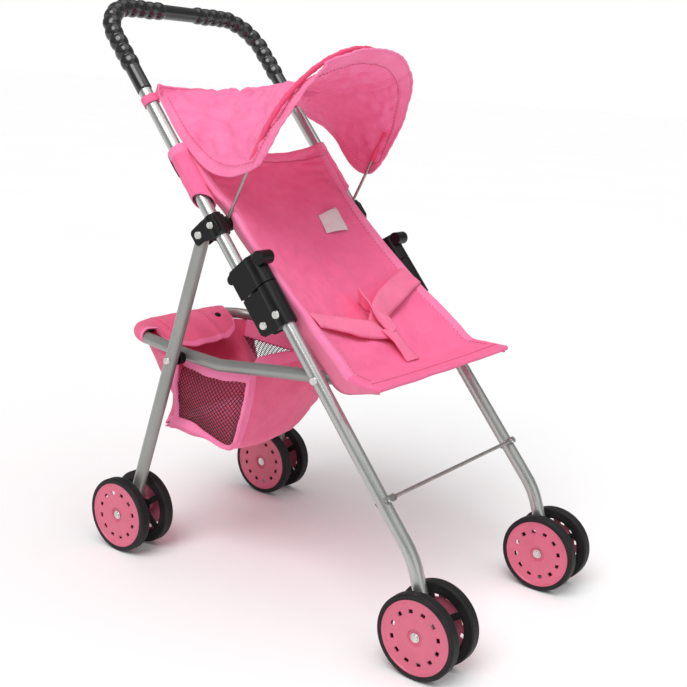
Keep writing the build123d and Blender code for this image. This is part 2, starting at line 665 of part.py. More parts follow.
with BuildPart() as basket_mesh_right:
    with BuildSketch(Plane.YZ.offset(-110)):
        with BuildLine():
            Polyline((-118.6 + Y_SHIFT, 189.6), (-45.4 + Y_SHIFT, 189.6), (-40.5 + Y_SHIFT, 170), (-42.4 + Y_SHIFT, 136.4), (-96.7 + Y_SHIFT, 134.4), close=True)
        make_face()
    extrude(amount=60)
    frustum(BF - 9.0, BR + 9.0, 88.3, 69.8, 200.6, -104.0 + Y_SHIFT - 9.0, -26.0 + Y_SHIFT + 9.0, 79.8, 121.1, mode=Mode.INTERSECT)
    frustum(BF - 20.0, BR + 20.0, 87.3, 68.8, 200.7, -104.0 + Y_SHIFT - 20.0, -26.0 + Y_SHIFT + 20.0, 78.8, 121.0, mode=Mode.SUBTRACT)
save(basket_mesh_right.part, "basket_mesh_right")
with BuildPart() as basket_mesh_left:
    mirror(basket_mesh_right.part, about=Plane.YZ)
save(basket_mesh_left.part, "basket_mesh_left")

FY, FZ = 44.0 + Y_SHIFT, 212.5
with BuildPart() as basket_rear_flap:
    with Locations(cross(FY, FZ)):
        Cylinder(8.0, 80.0)
    flap_points = [(FY - 30.0, FZ - 7.2), (FY - 16.0, FZ + 1.5), (FY - 3.0, FZ + 5.9)]
    with BuildSketch(Plane.YZ.offset(-46.0)):
        with BuildLine():
            Polyline(*sheet_profile(flap_points, 1.6), close=True)
        make_face()
    extrude(amount=92.0)
    with Locations(cross(FY, FZ)):
        Cylinder(BAR_R + 0.3, 120.0, mode=Mode.SUBTRACT)
save(basket_rear_flap.part, "basket_rear_flap")

with BuildPart() as basket_snap:
    flap_plane = Plane(origin=(34.0, FY - 22.0, FZ + 0.6), x_dir=(1, 0, 0), z_dir=(0, -0.53, 0.85))
    with BuildSketch(flap_plane):
        Circle(5.2)
    extrude(amount=1.6, taper=20)
save(basket_snap.part, "basket_snap")

# ---------------------------------------------------------------- wheels
W = WHEEL_OUT - WHEEL_IN
with BuildPart() as wheel_blank:
    with BuildSketch(Plane.XY):
        with BuildLine():
            Polyline((0.3, 29.6), (0, 30.4), (0, 36.0), (0.5, 37.0), (1.6, WHEEL_R), (3.1, WHEEL_R), (3.4, WHEEL_R - 0.6), (3.7, WHEEL_R),
                     (5.0, WHEEL_R), (5.3, WHEEL_R - 0.6), (5.6, WHEEL_R), (6.9, WHEEL_R), (7.2, WHEEL_R - 0.6), (7.5, WHEEL_R),
                     (9.0, WHEEL_R), (W - 0.5, 37.0), (W, 36.0), (W, 32.95), (8.2, 32.85), (8.2, 29.6), close=True)
        make_face()
        with BuildLine():
            Polyline((1.2, 6.0), (1.2, 30.5), (2.8, 30.5), (2.8, 6.0), close=True)
        make_face()
        with BuildLine():
            Polyline((-4.0, AXLE_R + 0.06), (-4.0, 6.0), (-3.2, 6.8), (6.6, 6.8), (7.1, 6.3), (7.1, AXLE_R + 0.06), close=True)
        make_face()
    revolve(axis=Axis.X)
    with BuildSketch(Plane.YZ.offset(0.8)):
        Circle(27.2)
        Circle(10.0, mode=Mode.SUBTRACT)
        with PolarLocations(18.5, 5):
            Rectangle(22.0, 6.0, mode=Mode.SUBTRACT)
    extrude(amount=2.4, mode=Mode.SUBTRACT)

with BuildPart() as cap_blank:
    with BuildSketch(Plane.XY):
        with BuildLine():
            Polyline((8.3, 30.2), (8.3, 32.75), (10.5, 32.6), (10.5, 31.2), (10.0, 30.7), (9.8, 26.0), (10.0, 18.0), (10.3, 10.0), (10.3, 8.2), (9.9, 7.3),
                     (8.4, 6.6), (8.4, 2.3), (7.3, 2.3), (7.3, 7.4), (9.0, 8.6), (9.0, 10.0), (8.8, 18.0), (8.6, 26.0), (8.6, 30.2), close=True)
        make_face()
    revolve(axis=Axis.X)
    with BuildSketch(Plane.YZ.offset(6.5)):
        with PolarLocations(22.8, 12, start_angle=15):
            Rectangle(3.5, 4.3)
    extrude(amount=6.0, mode=Mode.SUBTRACT)

wheel_sites = []
for end, wy in (("front", FRONT_AXLE_Y), ("rear", REAR_AXLE_Y)):
    for hand, sx in (("right", -1.0), ("left", 1.0)):
        for place, outward in (("outer", sx), ("inner", -sx)):
            wheel_sites.append((end + "_" + hand + "_" + place, wy, sx, outward))
for name, wy, sx, outward in wheel_sites:
    wx = sx * PAIR_X + outward * WHEEL_IN
    spot = Location((wx, wy, AXLE_Z), (0, 0, 0 if outward > 0 else 180))
    with BuildPart() as wheel:
        with Locations(spot):
            add(wheel_blank.part)
    save(wheel.part, "wheel_" + name)
    with BuildPart() as wheel_cap:
        with Locations(spot):
            add(cap_blank.part)
    save(wheel_cap.part, "wheel_cap_" + name)
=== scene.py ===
import math

import bpy
from mathutils import Matrix, Vector, noise


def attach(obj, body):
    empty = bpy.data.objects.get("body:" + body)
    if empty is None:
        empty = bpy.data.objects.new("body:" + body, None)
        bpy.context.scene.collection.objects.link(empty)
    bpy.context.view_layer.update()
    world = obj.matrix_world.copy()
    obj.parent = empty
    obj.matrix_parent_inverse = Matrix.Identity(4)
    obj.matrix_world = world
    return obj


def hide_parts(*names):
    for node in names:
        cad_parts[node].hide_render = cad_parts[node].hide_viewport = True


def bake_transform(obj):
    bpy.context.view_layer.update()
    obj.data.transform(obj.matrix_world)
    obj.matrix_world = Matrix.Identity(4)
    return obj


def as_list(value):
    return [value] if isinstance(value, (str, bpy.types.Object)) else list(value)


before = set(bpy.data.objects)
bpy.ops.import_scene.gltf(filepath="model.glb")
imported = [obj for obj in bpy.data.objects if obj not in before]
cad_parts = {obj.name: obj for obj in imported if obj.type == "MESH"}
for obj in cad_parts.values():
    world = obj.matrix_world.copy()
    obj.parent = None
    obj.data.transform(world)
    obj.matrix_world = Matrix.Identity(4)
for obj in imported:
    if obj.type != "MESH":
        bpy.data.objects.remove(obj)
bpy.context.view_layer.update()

# ------------------------------------------------------------ shared numbers, millimetres
TY, TZ = 0.65256, 0.75774
NY, NZ = -TZ, TY
SHIFT = 159.6
PIV_Y, PIV_Z = -165.57, 261.92          # fold pivot, before the shift along Y
TUBE_GAP = 19.2
HUB_Y, HUB_Z = -97.32, 341.75
BOW_Y, BOW_Z = -0.4263, 0.9046
FINE = 1.0


def leg_x(z):
    return 111.316 - 0.01292 * z


def V(x, y, z):
    """Millimetres with Y measured from the rear axle, to the row frame in metres."""
    return Vector((x / 1000.0, (y + SHIFT) / 1000.0, z / 1000.0))


def sn(s, n):
    return (PIV_Y + s * TY + n * NY, PIV_Z + s * TZ + n * NZ)


def lerp(a, b, t):
    return a + (b - a) * t


def smooth(t):
    t = max(0.0, min(1.0, t))
    return t * t * (3 - 2 * t)


def fbm(p, scale, octaves=3, seed=0.0):
    q = Vector((p[0] * scale + seed, p[1] * scale - seed * 0.7, p[2] * scale + seed * 1.3))
    total, amp = 0.0, 1.0
    for _ in range(octaves):
        total += amp * noise.noise(q)
        q = q * 2.03
        amp *= 0.5
    return total


def table(keys, t):
    """Catmull-Rom through rows of (t, v0, v1, ...)."""
    n = len(keys)
    i = 0
    while i < n - 2 and t > keys[i + 1][0]:
        i += 1
    k1, k2 = keys[i], keys[i + 1]
    k0 = keys[i - 1] if i > 0 else k1
    k3 = keys[i + 2] if i + 2 < n else k2
    d = k2[0] - k1[0]
    u = 0 if d == 0 else max(0.0, min(1.0, (t - k1[0]) / d))
    out = []
    for c in range(1, len(k1)):
        m1 = 0.0 if k2[0] == k0[0] else (k2[c] - k0[c]) / (k2[0] - k0[0]) * d
        m2 = 0.0 if k3[0] == k1[0] else (k3[c] - k1[c]) / (k3[0] - k1[0]) * d
        if i == 0:
            m1 = k2[c] - k1[c]
        if i + 2 >= n:
            m2 = k2[c] - k1[c]
        u2, u3 = u * u, u * u * u
        out.append((2 * u3 - 3 * u2 + 1) * k1[c] + (u3 - 2 * u2 + u) * m1 + (-2 * u3 + 3 * u2) * k2[c] + (u3 - u2) * m2)
    return out


def chord_keys(points):
    """Rows of points with the share of the path's length first, 0 to 1."""
    acc, rows = 0.0, [[0.0, *points[0]]]
    for a, b in zip(points, points[1:]):
        acc += math.dist(a[:3], b[:3])
        rows.append([acc, *b])
    for r in rows:
        r[0] /= acc
    return rows


# ------------------------------------------------------------ materials
def new_mat(name):
    m = bpy.data.materials.new(name)
    m.use_nodes = True
    nt = m.node_tree
    bsdf = next(n for n in nt.nodes if n.type == "BSDF_PRINCIPLED")
    return m, nt, bsdf


def node(nt, kind, **props):
    n = nt.nodes.new(kind)
    for k, v in props.items():
        setattr(n, k, v)
    return n


def coords(nt, use_uv):
    tc = node(nt, "ShaderNodeTexCoord")
    return tc.outputs["UV"] if use_uv else tc.outputs["Object"]


def mixed_colour(nt, bsdf, fac_socket, low, high, ramp=(0.35, 0.65)):
    r = node(nt, "ShaderNodeValToRGB")
    r.color_ramp.elements[0].position, r.color_ramp.elements[1].position = ramp
    r.color_ramp.elements[0].color = (*low, 1)
    r.color_ramp.elements[1].color = (*high, 1)
    nt.links.new(fac_socket, r.inputs["Fac"])
    nt.links.new(r.outputs["Color"], bsdf.inputs["Base Color"])
    return r


def fabric(name, low, high, weave=0.0007, weave_depth=0.25, rough=0.86, sheen=0.25, tint=(1.0, 0.72, 0.85), crinkle=0.35):
    m, nt, b = new_mat(name)
    uv = coords(nt, True)
    ob = coords(nt, False)
    big = node(nt, "ShaderNodeTexNoise")
    big.inputs["Scale"].default_value = 34.0
    big.inputs["Detail"].default_value = 5.0
    big.inputs["Roughness"].default_value = 0.62
    nt.links.new(ob, big.inputs["Vector"])
    mixed_colour(nt, b, big.outputs["Fac"], low, high, (0.3, 0.7))
    waves = []
    for direction in ("X", "Y"):
        w = node(nt, "ShaderNodeTexWave", wave_type="BANDS", bands_direction=direction, wave_profile="SIN")
        w.inputs["Scale"].default_value = 0.314 / weave
        w.inputs["Distortion"].default_value = 0.25
        w.inputs["Detail"].default_value = 1.0
        w.inputs["Detail Scale"].default_value = 40.0
        nt.links.new(uv, w.inputs["Vector"])
        waves.append(w)
    cross = node(nt, "ShaderNodeMath", operation="MAXIMUM")
    nt.links.new(waves[0].outputs["Fac"], cross.inputs[0])
    nt.links.new(waves[1].outputs["Fac"], cross.inputs[1])
    crk = node(nt, "ShaderNodeTexNoise")
    crk.inputs["Scale"].default_value = 120.0
    crk.inputs["Detail"].default_value = 6.0
    crk.inputs["Roughness"].default_value = 0.6
    crk.inputs["Distortion"].default_value = 0.6
    nt.links.new(ob, crk.inputs["Vector"])
    b1 = node(nt, "ShaderNodeBump")
    b1.inputs["Strength"].default_value = crinkle
    b1.inputs["Distance"].default_value = 0.0012
    nt.links.new(crk.outputs["Fac"], b1.inputs["Height"])
    b2 = node(nt, "ShaderNodeBump")
    b2.inputs["Strength"].default_value = weave_depth
    b2.inputs["Distance"].default_value = 0.0003
    nt.links.new(cross.outputs["Value"], b2.inputs["Height"])
    nt.links.new(b1.outputs["Normal"], b2.inputs["Normal"])
    nt.links.new(b2.outputs["Normal"], b.inputs["Normal"])
    b.inputs["Roughness"].default_value = rough
    b.inputs["Specular IOR Level"].default_value = 0.2
    b.inputs["Sheen Weight"].default_value = sheen
    b.inputs["Sheen Roughness"].default_value = 0.55
    b.inputs["Sheen Tint"].default_value = (*tint, 1)
    return m


def solid(name, low, high, rough=0.4, metallic=0.0, scale=60.0, rough_var=0.08, bump=0.05, bump_scale=400.0,
          distance=0.0002, coat=0.0, spec=0.5, stretch=None, ramp=(0.3, 0.7)):
    m, nt, b = new_mat(name)
    ob = coords(nt, False)
    vec = ob
    if stretch:
        mp = node(nt, "ShaderNodeMapping")
        mp.inputs["Scale"].default_value = stretch
        nt.links.new(ob, mp.inputs["Vector"])
        vec = mp.outputs["Vector"]
    n1 = node(nt, "ShaderNodeTexNoise")
    n1.inputs["Scale"].default_value = scale
    n1.inputs["Detail"].default_value = 4.0
    nt.links.new(vec, n1.inputs["Vector"])
    mixed_colour(nt, b, n1.outputs["Fac"], low, high, ramp)
    r = node(nt, "ShaderNodeMapRange")
    r.inputs["To Min"].default_value = max(0.02, rough - rough_var)
    r.inputs["To Max"].default_value = rough + rough_var
    nt.links.new(n1.outputs["Fac"], r.inputs["Value"])
    nt.links.new(r.outputs["Result"], b.inputs["Roughness"])
    n2 = node(nt, "ShaderNodeTexNoise")
    n2.inputs["Scale"].default_value = bump_scale
    n2.inputs["Detail"].default_value = 3.0
    nt.links.new(vec, n2.inputs["Vector"])
    bp = node(nt, "ShaderNodeBump")
    bp.inputs["Strength"].default_value = bump
    bp.inputs["Distance"].default_value = distance
    nt.links.new(n2.outputs["Fac"], bp.inputs["Height"])
    nt.links.new(bp.outputs["Normal"], b.inputs["Normal"])
    b.inputs["Metallic"].default_value = metallic
    b.inputs["Coat Weight"].default_value = coat
    b.inputs["Coat Roughness"].default_value = 0.25
    b.inputs["Specular IOR Level"].default_value = spec
    return m


COTTON = fabric("pink_cotton", (0.86, 0.145, 0.315), (0.93, 0.175, 0.36), sheen=0.12)
# darker, deeper copy of the pink cotton: painted shade of the cloth inside the canopy
SHADED_COTTON = fabric("pink_cotton_inside_painted_shade", (0.80, 0.085, 0.20), (0.88, 0.11, 0.24), sheen=0.1)
# lighter copy of the pink cotton: painted light and sheen of the lit canopy
LIT_CANOPY_CLOTH = fabric("canopy_cotton_painted_light", (0.90, 0.185, 0.385), (0.96, 0.235, 0.45), crinkle=0.7, sheen=0.12)
# darker copy of the pink cotton: painted shade of the basket under the seat
SHADED_BASKET_CLOTH = fabric("basket_cotton_painted_shade", (0.80, 0.125, 0.25), (0.88, 0.16, 0.31), crinkle=0.5, sheen=0.15)
# lighter copy of the pink cotton for hems and bindings: painted light where the hems face the light
LIT_HEM = fabric("hem_cotton_painted_light", (0.90, 0.20, 0.39), (0.96, 0.25, 0.46), crinkle=0.4, sheen=0.15)
WEBBING = fabric("pink_webbing_strap", (0.90, 0.17, 0.33), (0.96, 0.21, 0.38), weave=0.0011, weave_depth=0.5, crinkle=0.1)
THREAD = solid("pink_thread", (0.55, 0.07, 0.16), (0.72, 0.12, 0.24), rough=0.7, scale=900, bump=0.3, bump_scale=2500)
SATIN = fabric("label_satin_white", (0.72, 0.66, 0.66), (0.82, 0.77, 0.76), weave=0.0005, rough=0.5, sheen=0.2, tint=(1, 1, 1), crinkle=0.15)
NET = solid("black_net_cord", (0.012, 0.010, 0.012), (0.03, 0.024, 0.028), rough=0.62, scale=500, bump=0.4, bump_scale=3000)
HOOK = solid("hook_tape_black", (0.010, 0.010, 0.010), (0.035, 0.035, 0.034), rough=0.8, scale=900, bump=0.8, bump_scale=1800, distance=0.0008)
PAINT = solid("silver_paint", (0.44, 0.45, 0.435), (0.49, 0.50, 0.485), rough=0.27, metallic=0.80, scale=18, bump=0.05, bump_scale=1500, coat=0.25)
# darker copy of the silver frame paint: painted shade for the rear legs and the basket bar
SHADED_SILVER_PAINT = solid("silver_paint_painted_shade", (0.29, 0.295, 0.28), (0.335, 0.34, 0.325), rough=0.36, metallic=0.55, scale=18, bump=0.05, bump_scale=1500, coat=0.15)
ZINC = solid("zinc_rivet", (0.52, 0.52, 0.50), (0.72, 0.72, 0.70), rough=0.22, metallic=1.0, scale=240, bump=0.12, bump_scale=900)
WIRE = solid("bare_wire", (0.33, 0.31, 0.30), (0.44, 0.42, 0.41), rough=0.34, metallic=0.85, scale=120, bump=0.1, bump_scale=1200)
BLACK = solid("black_moulded", (0.0035, 0.004, 0.0037), (0.006, 0.0066, 0.0062), rough=0.34, scale=90, bump=0.10, bump_scale=1600, distance=0.0001, spec=0.22)
GRIP = solid("black_gloss_grip", (0.0055, 0.0058, 0.006), (0.010, 0.0105, 0.011), rough=0.20, scale=90, bump=0.03, bump_scale=600, spec=0.6, coat=0.35, rough_var=0.04)
TYRE = solid("tyre_rubber", (0.011, 0.0105, 0.011), (0.021, 0.0195, 0.0205), rough=0.50, scale=70, bump=0.25, bump_scale=900, rough_var=0.1, spec=0.22)
PINK = solid("pink_moulded", (0.63, 0.12, 0.20), (0.69, 0.14, 0.23), rough=0.38, scale=45, bump=0.06, bump_scale=900, coat=0.15)

by_slot = {"frame_tube": PAINT, "steel_rivet": ZINC, "steel_wire": WIRE, "black_plastic": BLACK, "grip_plastic": GRIP,
           "pink_plastic": PINK, "wheel_rubber": TYRE, "pink_fabric": COTTON, "pink_webbing": WEBBING,
           "black_mesh": NET, "label_satin": SATIN, "hook_tape": HOOK}


def cad_material(name):
    # the rear legs and the basket bar take the darker copy of the paint, painted shade
    if name.startswith("rear_leg") or name == "basket_bar":
        return SHADED_SILVER_PAINT
    if name in ("handle_tube",) or name.startswith("front_leg"):
        return PAINT
    if "rivets" in name or "axle" in name:
        return ZINC
    if name in ("footrest_rod", "canopy_bow_wire", "seat_front_wire"):
        return WIRE
    if name.startswith("wheel_cap"):
        return PINK
    if name.startswith("wheel_"):
        return TYRE
    if "bracket" in name or "lock_sleeve" in name or name in ("leg_spacers", "basket_snap"):
        return BLACK
    if name.startswith("canopy_hub"):
        return BLACK
    return COTTON


for n_name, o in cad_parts.items():
    o.data.materials.clear()
    o.data.materials.append(cad_material(n_name))
    if "bracket_" in n_name and "rivets" not in n_name or "lock_sleeve" in n_name:
        for poly in o.data.polygons:
            poly.use_smooth = True
        bv = o.modifiers.new("soft_edges", "BEVEL")
        bv.width = 0.0009
        bv.segments = 3
        bv.limit_method = "ANGLE"
        bv.angle_limit = math.radians(50)
        bv.harden_normals = False


# ------------------------------------------------------------ mesh helpers
def finish_mesh(ob):
    """Applies the modifiers, so that the mesh is final."""
    dg = bpy.context.evaluated_depsgraph_get()
    me = bpy.data.meshes.new_from_object(ob.evaluated_get(dg), depsgraph=dg)
    ob.modifiers.clear()
    ob.data = me
    for p in me.polygons:
        p.use_smooth = True
    return ob


def mesh_object(name, verts, faces, mats, uvs=None, face_mats=None):
    me = bpy.data.meshes.new(name)
    me.from_pydata([tuple(v) for v in verts], [], faces)
    layer = me.uv_layers.new(name="UVMap")
    if uvs:
        for poly in me.polygons:
            for li in poly.loop_indices:
                layer.data[li].uv = uvs[me.loops[li].vertex_index]
    for m in (mats if isinstance(mats, (list, tuple)) else [mats]):
        me.materials.append(m)
    if face_mats:
        for poly, k in zip(me.polygons, face_mats):
            poly.material_index = k
    for p in me.polygons:
        p.use_smooth = True
    ob = bpy.data.objects.new(name, me)
    bpy.context.scene.collection.objects.link(ob)
    return ob


def grid(name, nu, nv, fn, mats, thickness=0.0009, size=(1.0, 1.0), band=None, sub=0, offset=0.0):
    """A closed thin sheet from fn(u, v), u and v 0 to 1. band(u, v) picks the material."""
    verts, uvs, faces, fm = [], [], [], []
    for j in range(nv + 1):
        for i in range(nu + 1):
            u, v = i / nu, j / nv
            verts.append(fn(u, v))
            uvs.append((u * size[0], v * size[1]))
    for j in range(nv):
        for i in range(nu):
            a = j * (nu + 1) + i
            faces.append((a, a + 1, a + nu + 2, a + nu + 1))
            if band:
                fm.append(band((i + 0.5) / nu, (j + 0.5) / nv))
    ob = mesh_object(name, verts, faces, mats, uvs, fm or None)
    if sub:
        s = ob.modifiers.new("s", "SUBSURF")
        s.levels = s.render_levels = sub
    if thickness:
        so = ob.modifiers.new("t", "SOLIDIFY")
        so.thickness = thickness
        so.offset = offset
        so.use_rim = True
    return finish_mesh(ob)


def sweep_tube(name, pts, radius, mat, sides=12, closed_ends=True):
    """A tube of radius(i) along pts."""
    verts, faces, uvs = [], [], []
    n = len(pts)
    ref = Vector((1, 0, 0))
    acc = 0.0
    for i, p in enumerate(pts):
        t = (pts[min(i + 1, n - 1)] - pts[max(i - 1, 0)]).normalized()
        side = (ref - t * ref.dot(t))
        side.normalize()
        ref = side
        other = t.cross(side)
        r = radius(i) if callable(radius) else radius
        if i:
            acc += (p - pts[i - 1]).length
        for k in range(sides):
            a = 2 * math.pi * k / sides
            verts.append(p + side * (math.cos(a) * r) + other * (math.sin(a) * r))
            uvs.append((k / sides * 2 * math.pi * r, acc))
    for i in range(n - 1):
        for k in range(sides):
            a, b = i * sides + k, i * sides + (k + 1) % sides
            faces.append((a, b, b + sides, a + sides))
    if closed_ends:
        faces.append(tuple(reversed(range(sides))))
        faces.append(tuple(range((n - 1) * sides, n * sides)))
    return mesh_object(name, verts, faces, mat, uvs)


def dashes(name, path, normals, mat, stitch=0.0026, gap=0.0014, r=0.00032, lift=0.0004):
    """Sewing stitches as short rounded threads along a path."""
    verts, faces = [], []
    acc, marks = 0.0, [0.0]
    for a, b in zip(path, path[1:]):
        acc += (b - a).length
        marks.append(acc)

    def at(d):
        for i in range(len(marks) - 1):
            if d <= marks[i + 1] or i == len(marks) - 2:
                span = marks[i + 1] - marks[i]
                t = 0 if span == 0 else (d - marks[i]) / span
                return path[i].lerp(path[i + 1], t), normals[i].lerp(normals[i + 1], t).normalized()
    d = 0.001
    while d + stitch < acc:
        ring = []
        p0, n0 = at(d)
        p1, n1 = at(d + stitch)
        t = (p1 - p0).normalized()
        for k, f in enumerate((0.0, 0.25, 0.75, 1.0)):
            p = p0.lerp(p1, f)
            nn = n0.lerp(n1, f).normalized()
            w = t.cross(nn)
            rr = r * (0.45 if k in (0, 3) else 1.0)
            up = nn * (lift if k in (1, 2) else lift * 0.35)
            base = len(verts)
            for a in range(5):
                an = 2 * math.pi * a / 5
                verts.append(p + up + w * (math.cos(an) * rr) + nn * (math.sin(an) * rr))
            ring.append(base)
        for q in range(3):
            for a in range(5):
                b = (a + 1) % 5
                faces.append((ring[q] + a, ring[q] + b, ring[q + 1] + b, ring[q + 1] + a))
        faces.append(tuple(ring[0] + a for a in reversed(range(5))))
        faces.append(tuple(ring[3] + a for a in range(5)))
        d += stitch + gap
    return mesh_object(name, verts, faces, mat)


def ribbon(name, keys, width, mat, thickness=0.0013, n=70, across=6):
    """Flat webbing through (x, y, z, nx, ny, nz) rows in millimetres; n is the ribbon's face."""
    rows = chord_keys(keys)
    pts, nrm = [], []
    for i in range(n + 1):
        x, y, z, a, b, c = table(rows, i / n)
        pts.append(V(x, y, z))
        nrm.append(Vector((a, b, c)).normalized())
    long = sum((b - a).length for a, b in zip(pts, pts[1:]))

    def fn(u, v):
        i = min(n, int(round(v * n)))
        t = (pts[min(i + 1, n)] - pts[max(i - 1, 0)]).normalized()
        w = t.cross(nrm[i]).normalized()
        nn = w.cross(t)
        off = (u - 0.5) * width
        cup = 0.0006 * (1 - (2 * u - 1) ** 2)
        return pts[i] + w * off + nn * (cup + 0.0004 * fbm(pts[i], 90, 2))
    ob = grid(name, across, n, fn, mat, thickness=thickness, size=(width, long))
    return ob, long


DECLARE = []      # (object, flat, held, rests_on, area, with_pieces)


# ------------------------------------------------------------ canopy
front_half = [(96.8, -134.0, 398.5), (96.4, -141.0, 408.5), (95.9, -149.8, 424.9), (94.9, -155.6, 435.8), (91.4, -160.3, 445.3),
              (88.0, -164.6, 454.9), (84.1, -169.7, 465.4), (78.8, -173.9, 474.5), (71.6, -177.7, 483.2),
              (61.2, -181.2, 490.7), (49.5, -185.1, 495.9), (36.0, -188.2, 500.5), (18.0, -190.2, 503.4), (0.0, -191.0, 504.4)]
front_pts = [(-x, y, z) for x, y, z in front_half] + [(x, y, z) for x, y, z in reversed(front_half[:-1])]
front_keys = chord_keys(front_pts)
side_near = chord_keys([(-96.8, -134.0, 398.5), (-97.4, -126.0, 394.0), (-97.8, -118.0, 390.5), (-98.4, -105.0, 386.0), (-99.0, -90.0, 385.5),
                        (-99.8, -75.0, 389.5), (-100.6, -58.0, 401.0), (-101.6, -42.0, 415.5), (-102.6, -27.0, 434.0),
                        (-103.4, -16.0, 450.0), (-103.6, -14.5, 459.0)])
side_far = chord_keys([(96.8, -134.0, 398.5), (97.2, -128.0, 390.0), (97.6, -120.0, 384.5), (98.2, -108.0, 384.5), (98.8, -98.0, 389.0),
                       (99.6, -86.0, 399.5), (100.4, -75.0, 412.0), (101.2, -64.0, 420.5), (101.8, -53.0, 426.0),
                       (102.6, -38.0, 430.5), (103.2, -27.0, 437.0), (103.6, -14.5, 459.0)])


def canopy_base(u, v):
    f = Vector(table(front_keys, u))
    # the rear edge takes its share of points so that the side walls gather at the corners
    ru = u + 0.055 * math.sin(2 * math.pi * u)
    rx = -103.6 + 207.2 * ru
    edge = 1 - abs(2 * u - 1)
    r = Vector((rx, -16.5 - 2.5 * math.sin(math.pi * u), 459.0 - 3.0 * math.sin(math.pi * u) + 1.6 * math.exp(-(edge / 0.03) ** 2)))
    s0, s1 = Vector(table(side_near, v)), Vector(table(side_far, v))
    c0 = lerp(Vector(side_near[0][1:]), Vector(side_near[-1][1:]), v)
    c1 = lerp(Vector(side_far[0][1:]), Vector(side_far[-1][1:]), v)
    p = lerp(f, r, v)
    p = p + (s0 - c0) * (max(0.0, 1 - u) ** 6.0) + (s1 - c1) * (max(0.0, u) ** 6.0)
    top = math.sin(math.pi * min(1, max(0, u)))
    p.z -= 13.0 * math.sin(math.pi * min(1.0, v ** 0.62)) * top ** 1.2 * (1 - 0.35 * v)
    return p


def canopy_fn(u, v):
    p = canopy_base(u, v)
    e = 0.004
    du = canopy_base(min(1, u + e), v) - canopy_base(max(0, u - e), v)
    dv = canopy_base(u, min(1, v + e)) - canopy_base(u, max(0, v - e))
    nrm = dv.cross(du)
    if nrm.length < 1e-6:
        nrm = Vector((0, 0, 1))
    nrm.normalize()
    if nrm.z < 0 and 0.3 < u < 0.7:
        nrm.negate()
    # distance to the front and side hems, roughly in millimetres
    df = v * 150.0
    ds = min(u, 1 - u) * 430.0
    dr = (1 - v) * 150.0
    inner = smooth((min(df, ds, dr) - 9.0) / 12.0)
    crumple = 4.2 * fbm(p, 0.030, 3, 3.1) + 2.2 * fbm(p, 0.075, 3, 9.7)
    ridge = abs(fbm(p, 0.022, 2, 21.0))
    crumple += 5.5 * (0.22 - ridge) * inner
    pucker = 0.0
    if df < 26:
        pucker = math.exp(-((df - 15.0) / 6.0) ** 2) * 1.1 * math.sin(u * 430.0 / 3.4 + 3.0 * fbm(p, 0.05, 1, 1.0))
    amp = 0.30 + 0.70 * inner
    d = crumple * amp + pucker * inner
    # hem bands are two layers thick and end in a stitched groove
    hem = 0.75 * (1 - smooth((min(df, ds) - 10.5) / 1.4))
    groove = -0.7 * math.exp(-((min(df, ds) - 11.6) / 0.9) ** 2)
    d += hem + groove
    # fullness round the wire
    p = p + nrm * d
    return Vector((p.x / 1000, (p.y + SHIFT) / 1000, p.z / 1000))


NU, NV = int(240 * FINE), int(104 * FINE)


# the canopy cloth takes the lighter canopy copy and its hem bands the lighter hem copy, both painted light
def canopy_band(u, v):
    return 1 if (v * 150 < 11.5 or min(u, 1 - u) * 430 < 11.0) else 0


canopy = grid("canopy_sheet", NU, NV, canopy_fn, [LIT_CANOPY_CLOTH, LIT_HEM], thickness=0.0011, size=(0.43, 0.165), band=canopy_band)


def canopy_path(kind, n=150):
    pts, nn = [], []
    for i in range(n + 1):
        t = i / n
        u, v = {"front": (0.03 + 0.94 * t, 11.6 / 150), "near": (11.6 / 430, 0.07 + 0.88 * t), "far": (1 - 11.6 / 430, 0.07 + 0.88 * t)}[kind]
        p = canopy_fn(u, v)
        e = 0.006
        du = canopy_fn(min(1, u + e), v) - canopy_fn(max(0, u - e), v)
        dv = canopy_fn(u, min(1, v + e)) - canopy_fn(u, max(0, v - e))
        m = dv.cross(du).normalized()
        pts.append(p + m * 0.00075)
        nn.append(m)
    return pts, nn


canopy_parts = []
for kind in ("front", "near", "far"):
    pts, nn = canopy_path(kind)
    up = dashes("canopy_stitch_" + kind + "_out", pts, nn, THREAD)
    dn = dashes("canopy_stitch_" + kind + "_in", [p - m * 0.0015 for p, m in zip(pts, nn)], [-m for m in nn], THREAD)
    canopy_parts += [up, dn]

# piping bead along the front edge, where the hem is rolled
edge_pts = [canopy_fn(i / 160, 0.0) for i in range(161)]
front_roll = sweep_tube("canopy_front_roll", edge_pts, lambda i: 0.0014 + 0.00025 * math.sin(i * 1.3), LIT_HEM, sides=8)
near_roll = sweep_tube("canopy_near_roll", [canopy_fn(0.0, i / 90) for i in range(91)], lambda i: 0.0012, LIT_HEM, sides=8)
far_roll = sweep_tube("canopy_far_roll", [canopy_fn(1.0, i / 90) for i in range(91)], lambda i: 0.0012, LIT_HEM, sides=8)
rear_roll = sweep_tube("canopy_rear_roll", [canopy_fn(i / 120, 1.0) for i in range(121)], lambda i: 0.0015, LIT_HEM, sides=8)
canopy_parts += [front_roll, near_roll, far_roll, rear_roll]

# casing that holds the wire bow under the cloth
casing_pts = []
for i in range(121):
    a = math.pi * i / 120
    d = 86.0 + 94.5 * math.sin(a)
    casing_pts.append(V(-94.5 * math.cos(a), HUB_Y + d * BOW_Y, HUB_Z + d * BOW_Z))
casing_pts = [V(-94.5, HUB_Y + d * BOW_Y, HUB_Z + d * BOW_Z) for d in (62, 68, 74, 80)] + casing_pts + \
             [V(94.5, HUB_Y + d * BOW_Y, HUB_Z + d * BOW_Z) for d in (80, 74, 68, 62)]
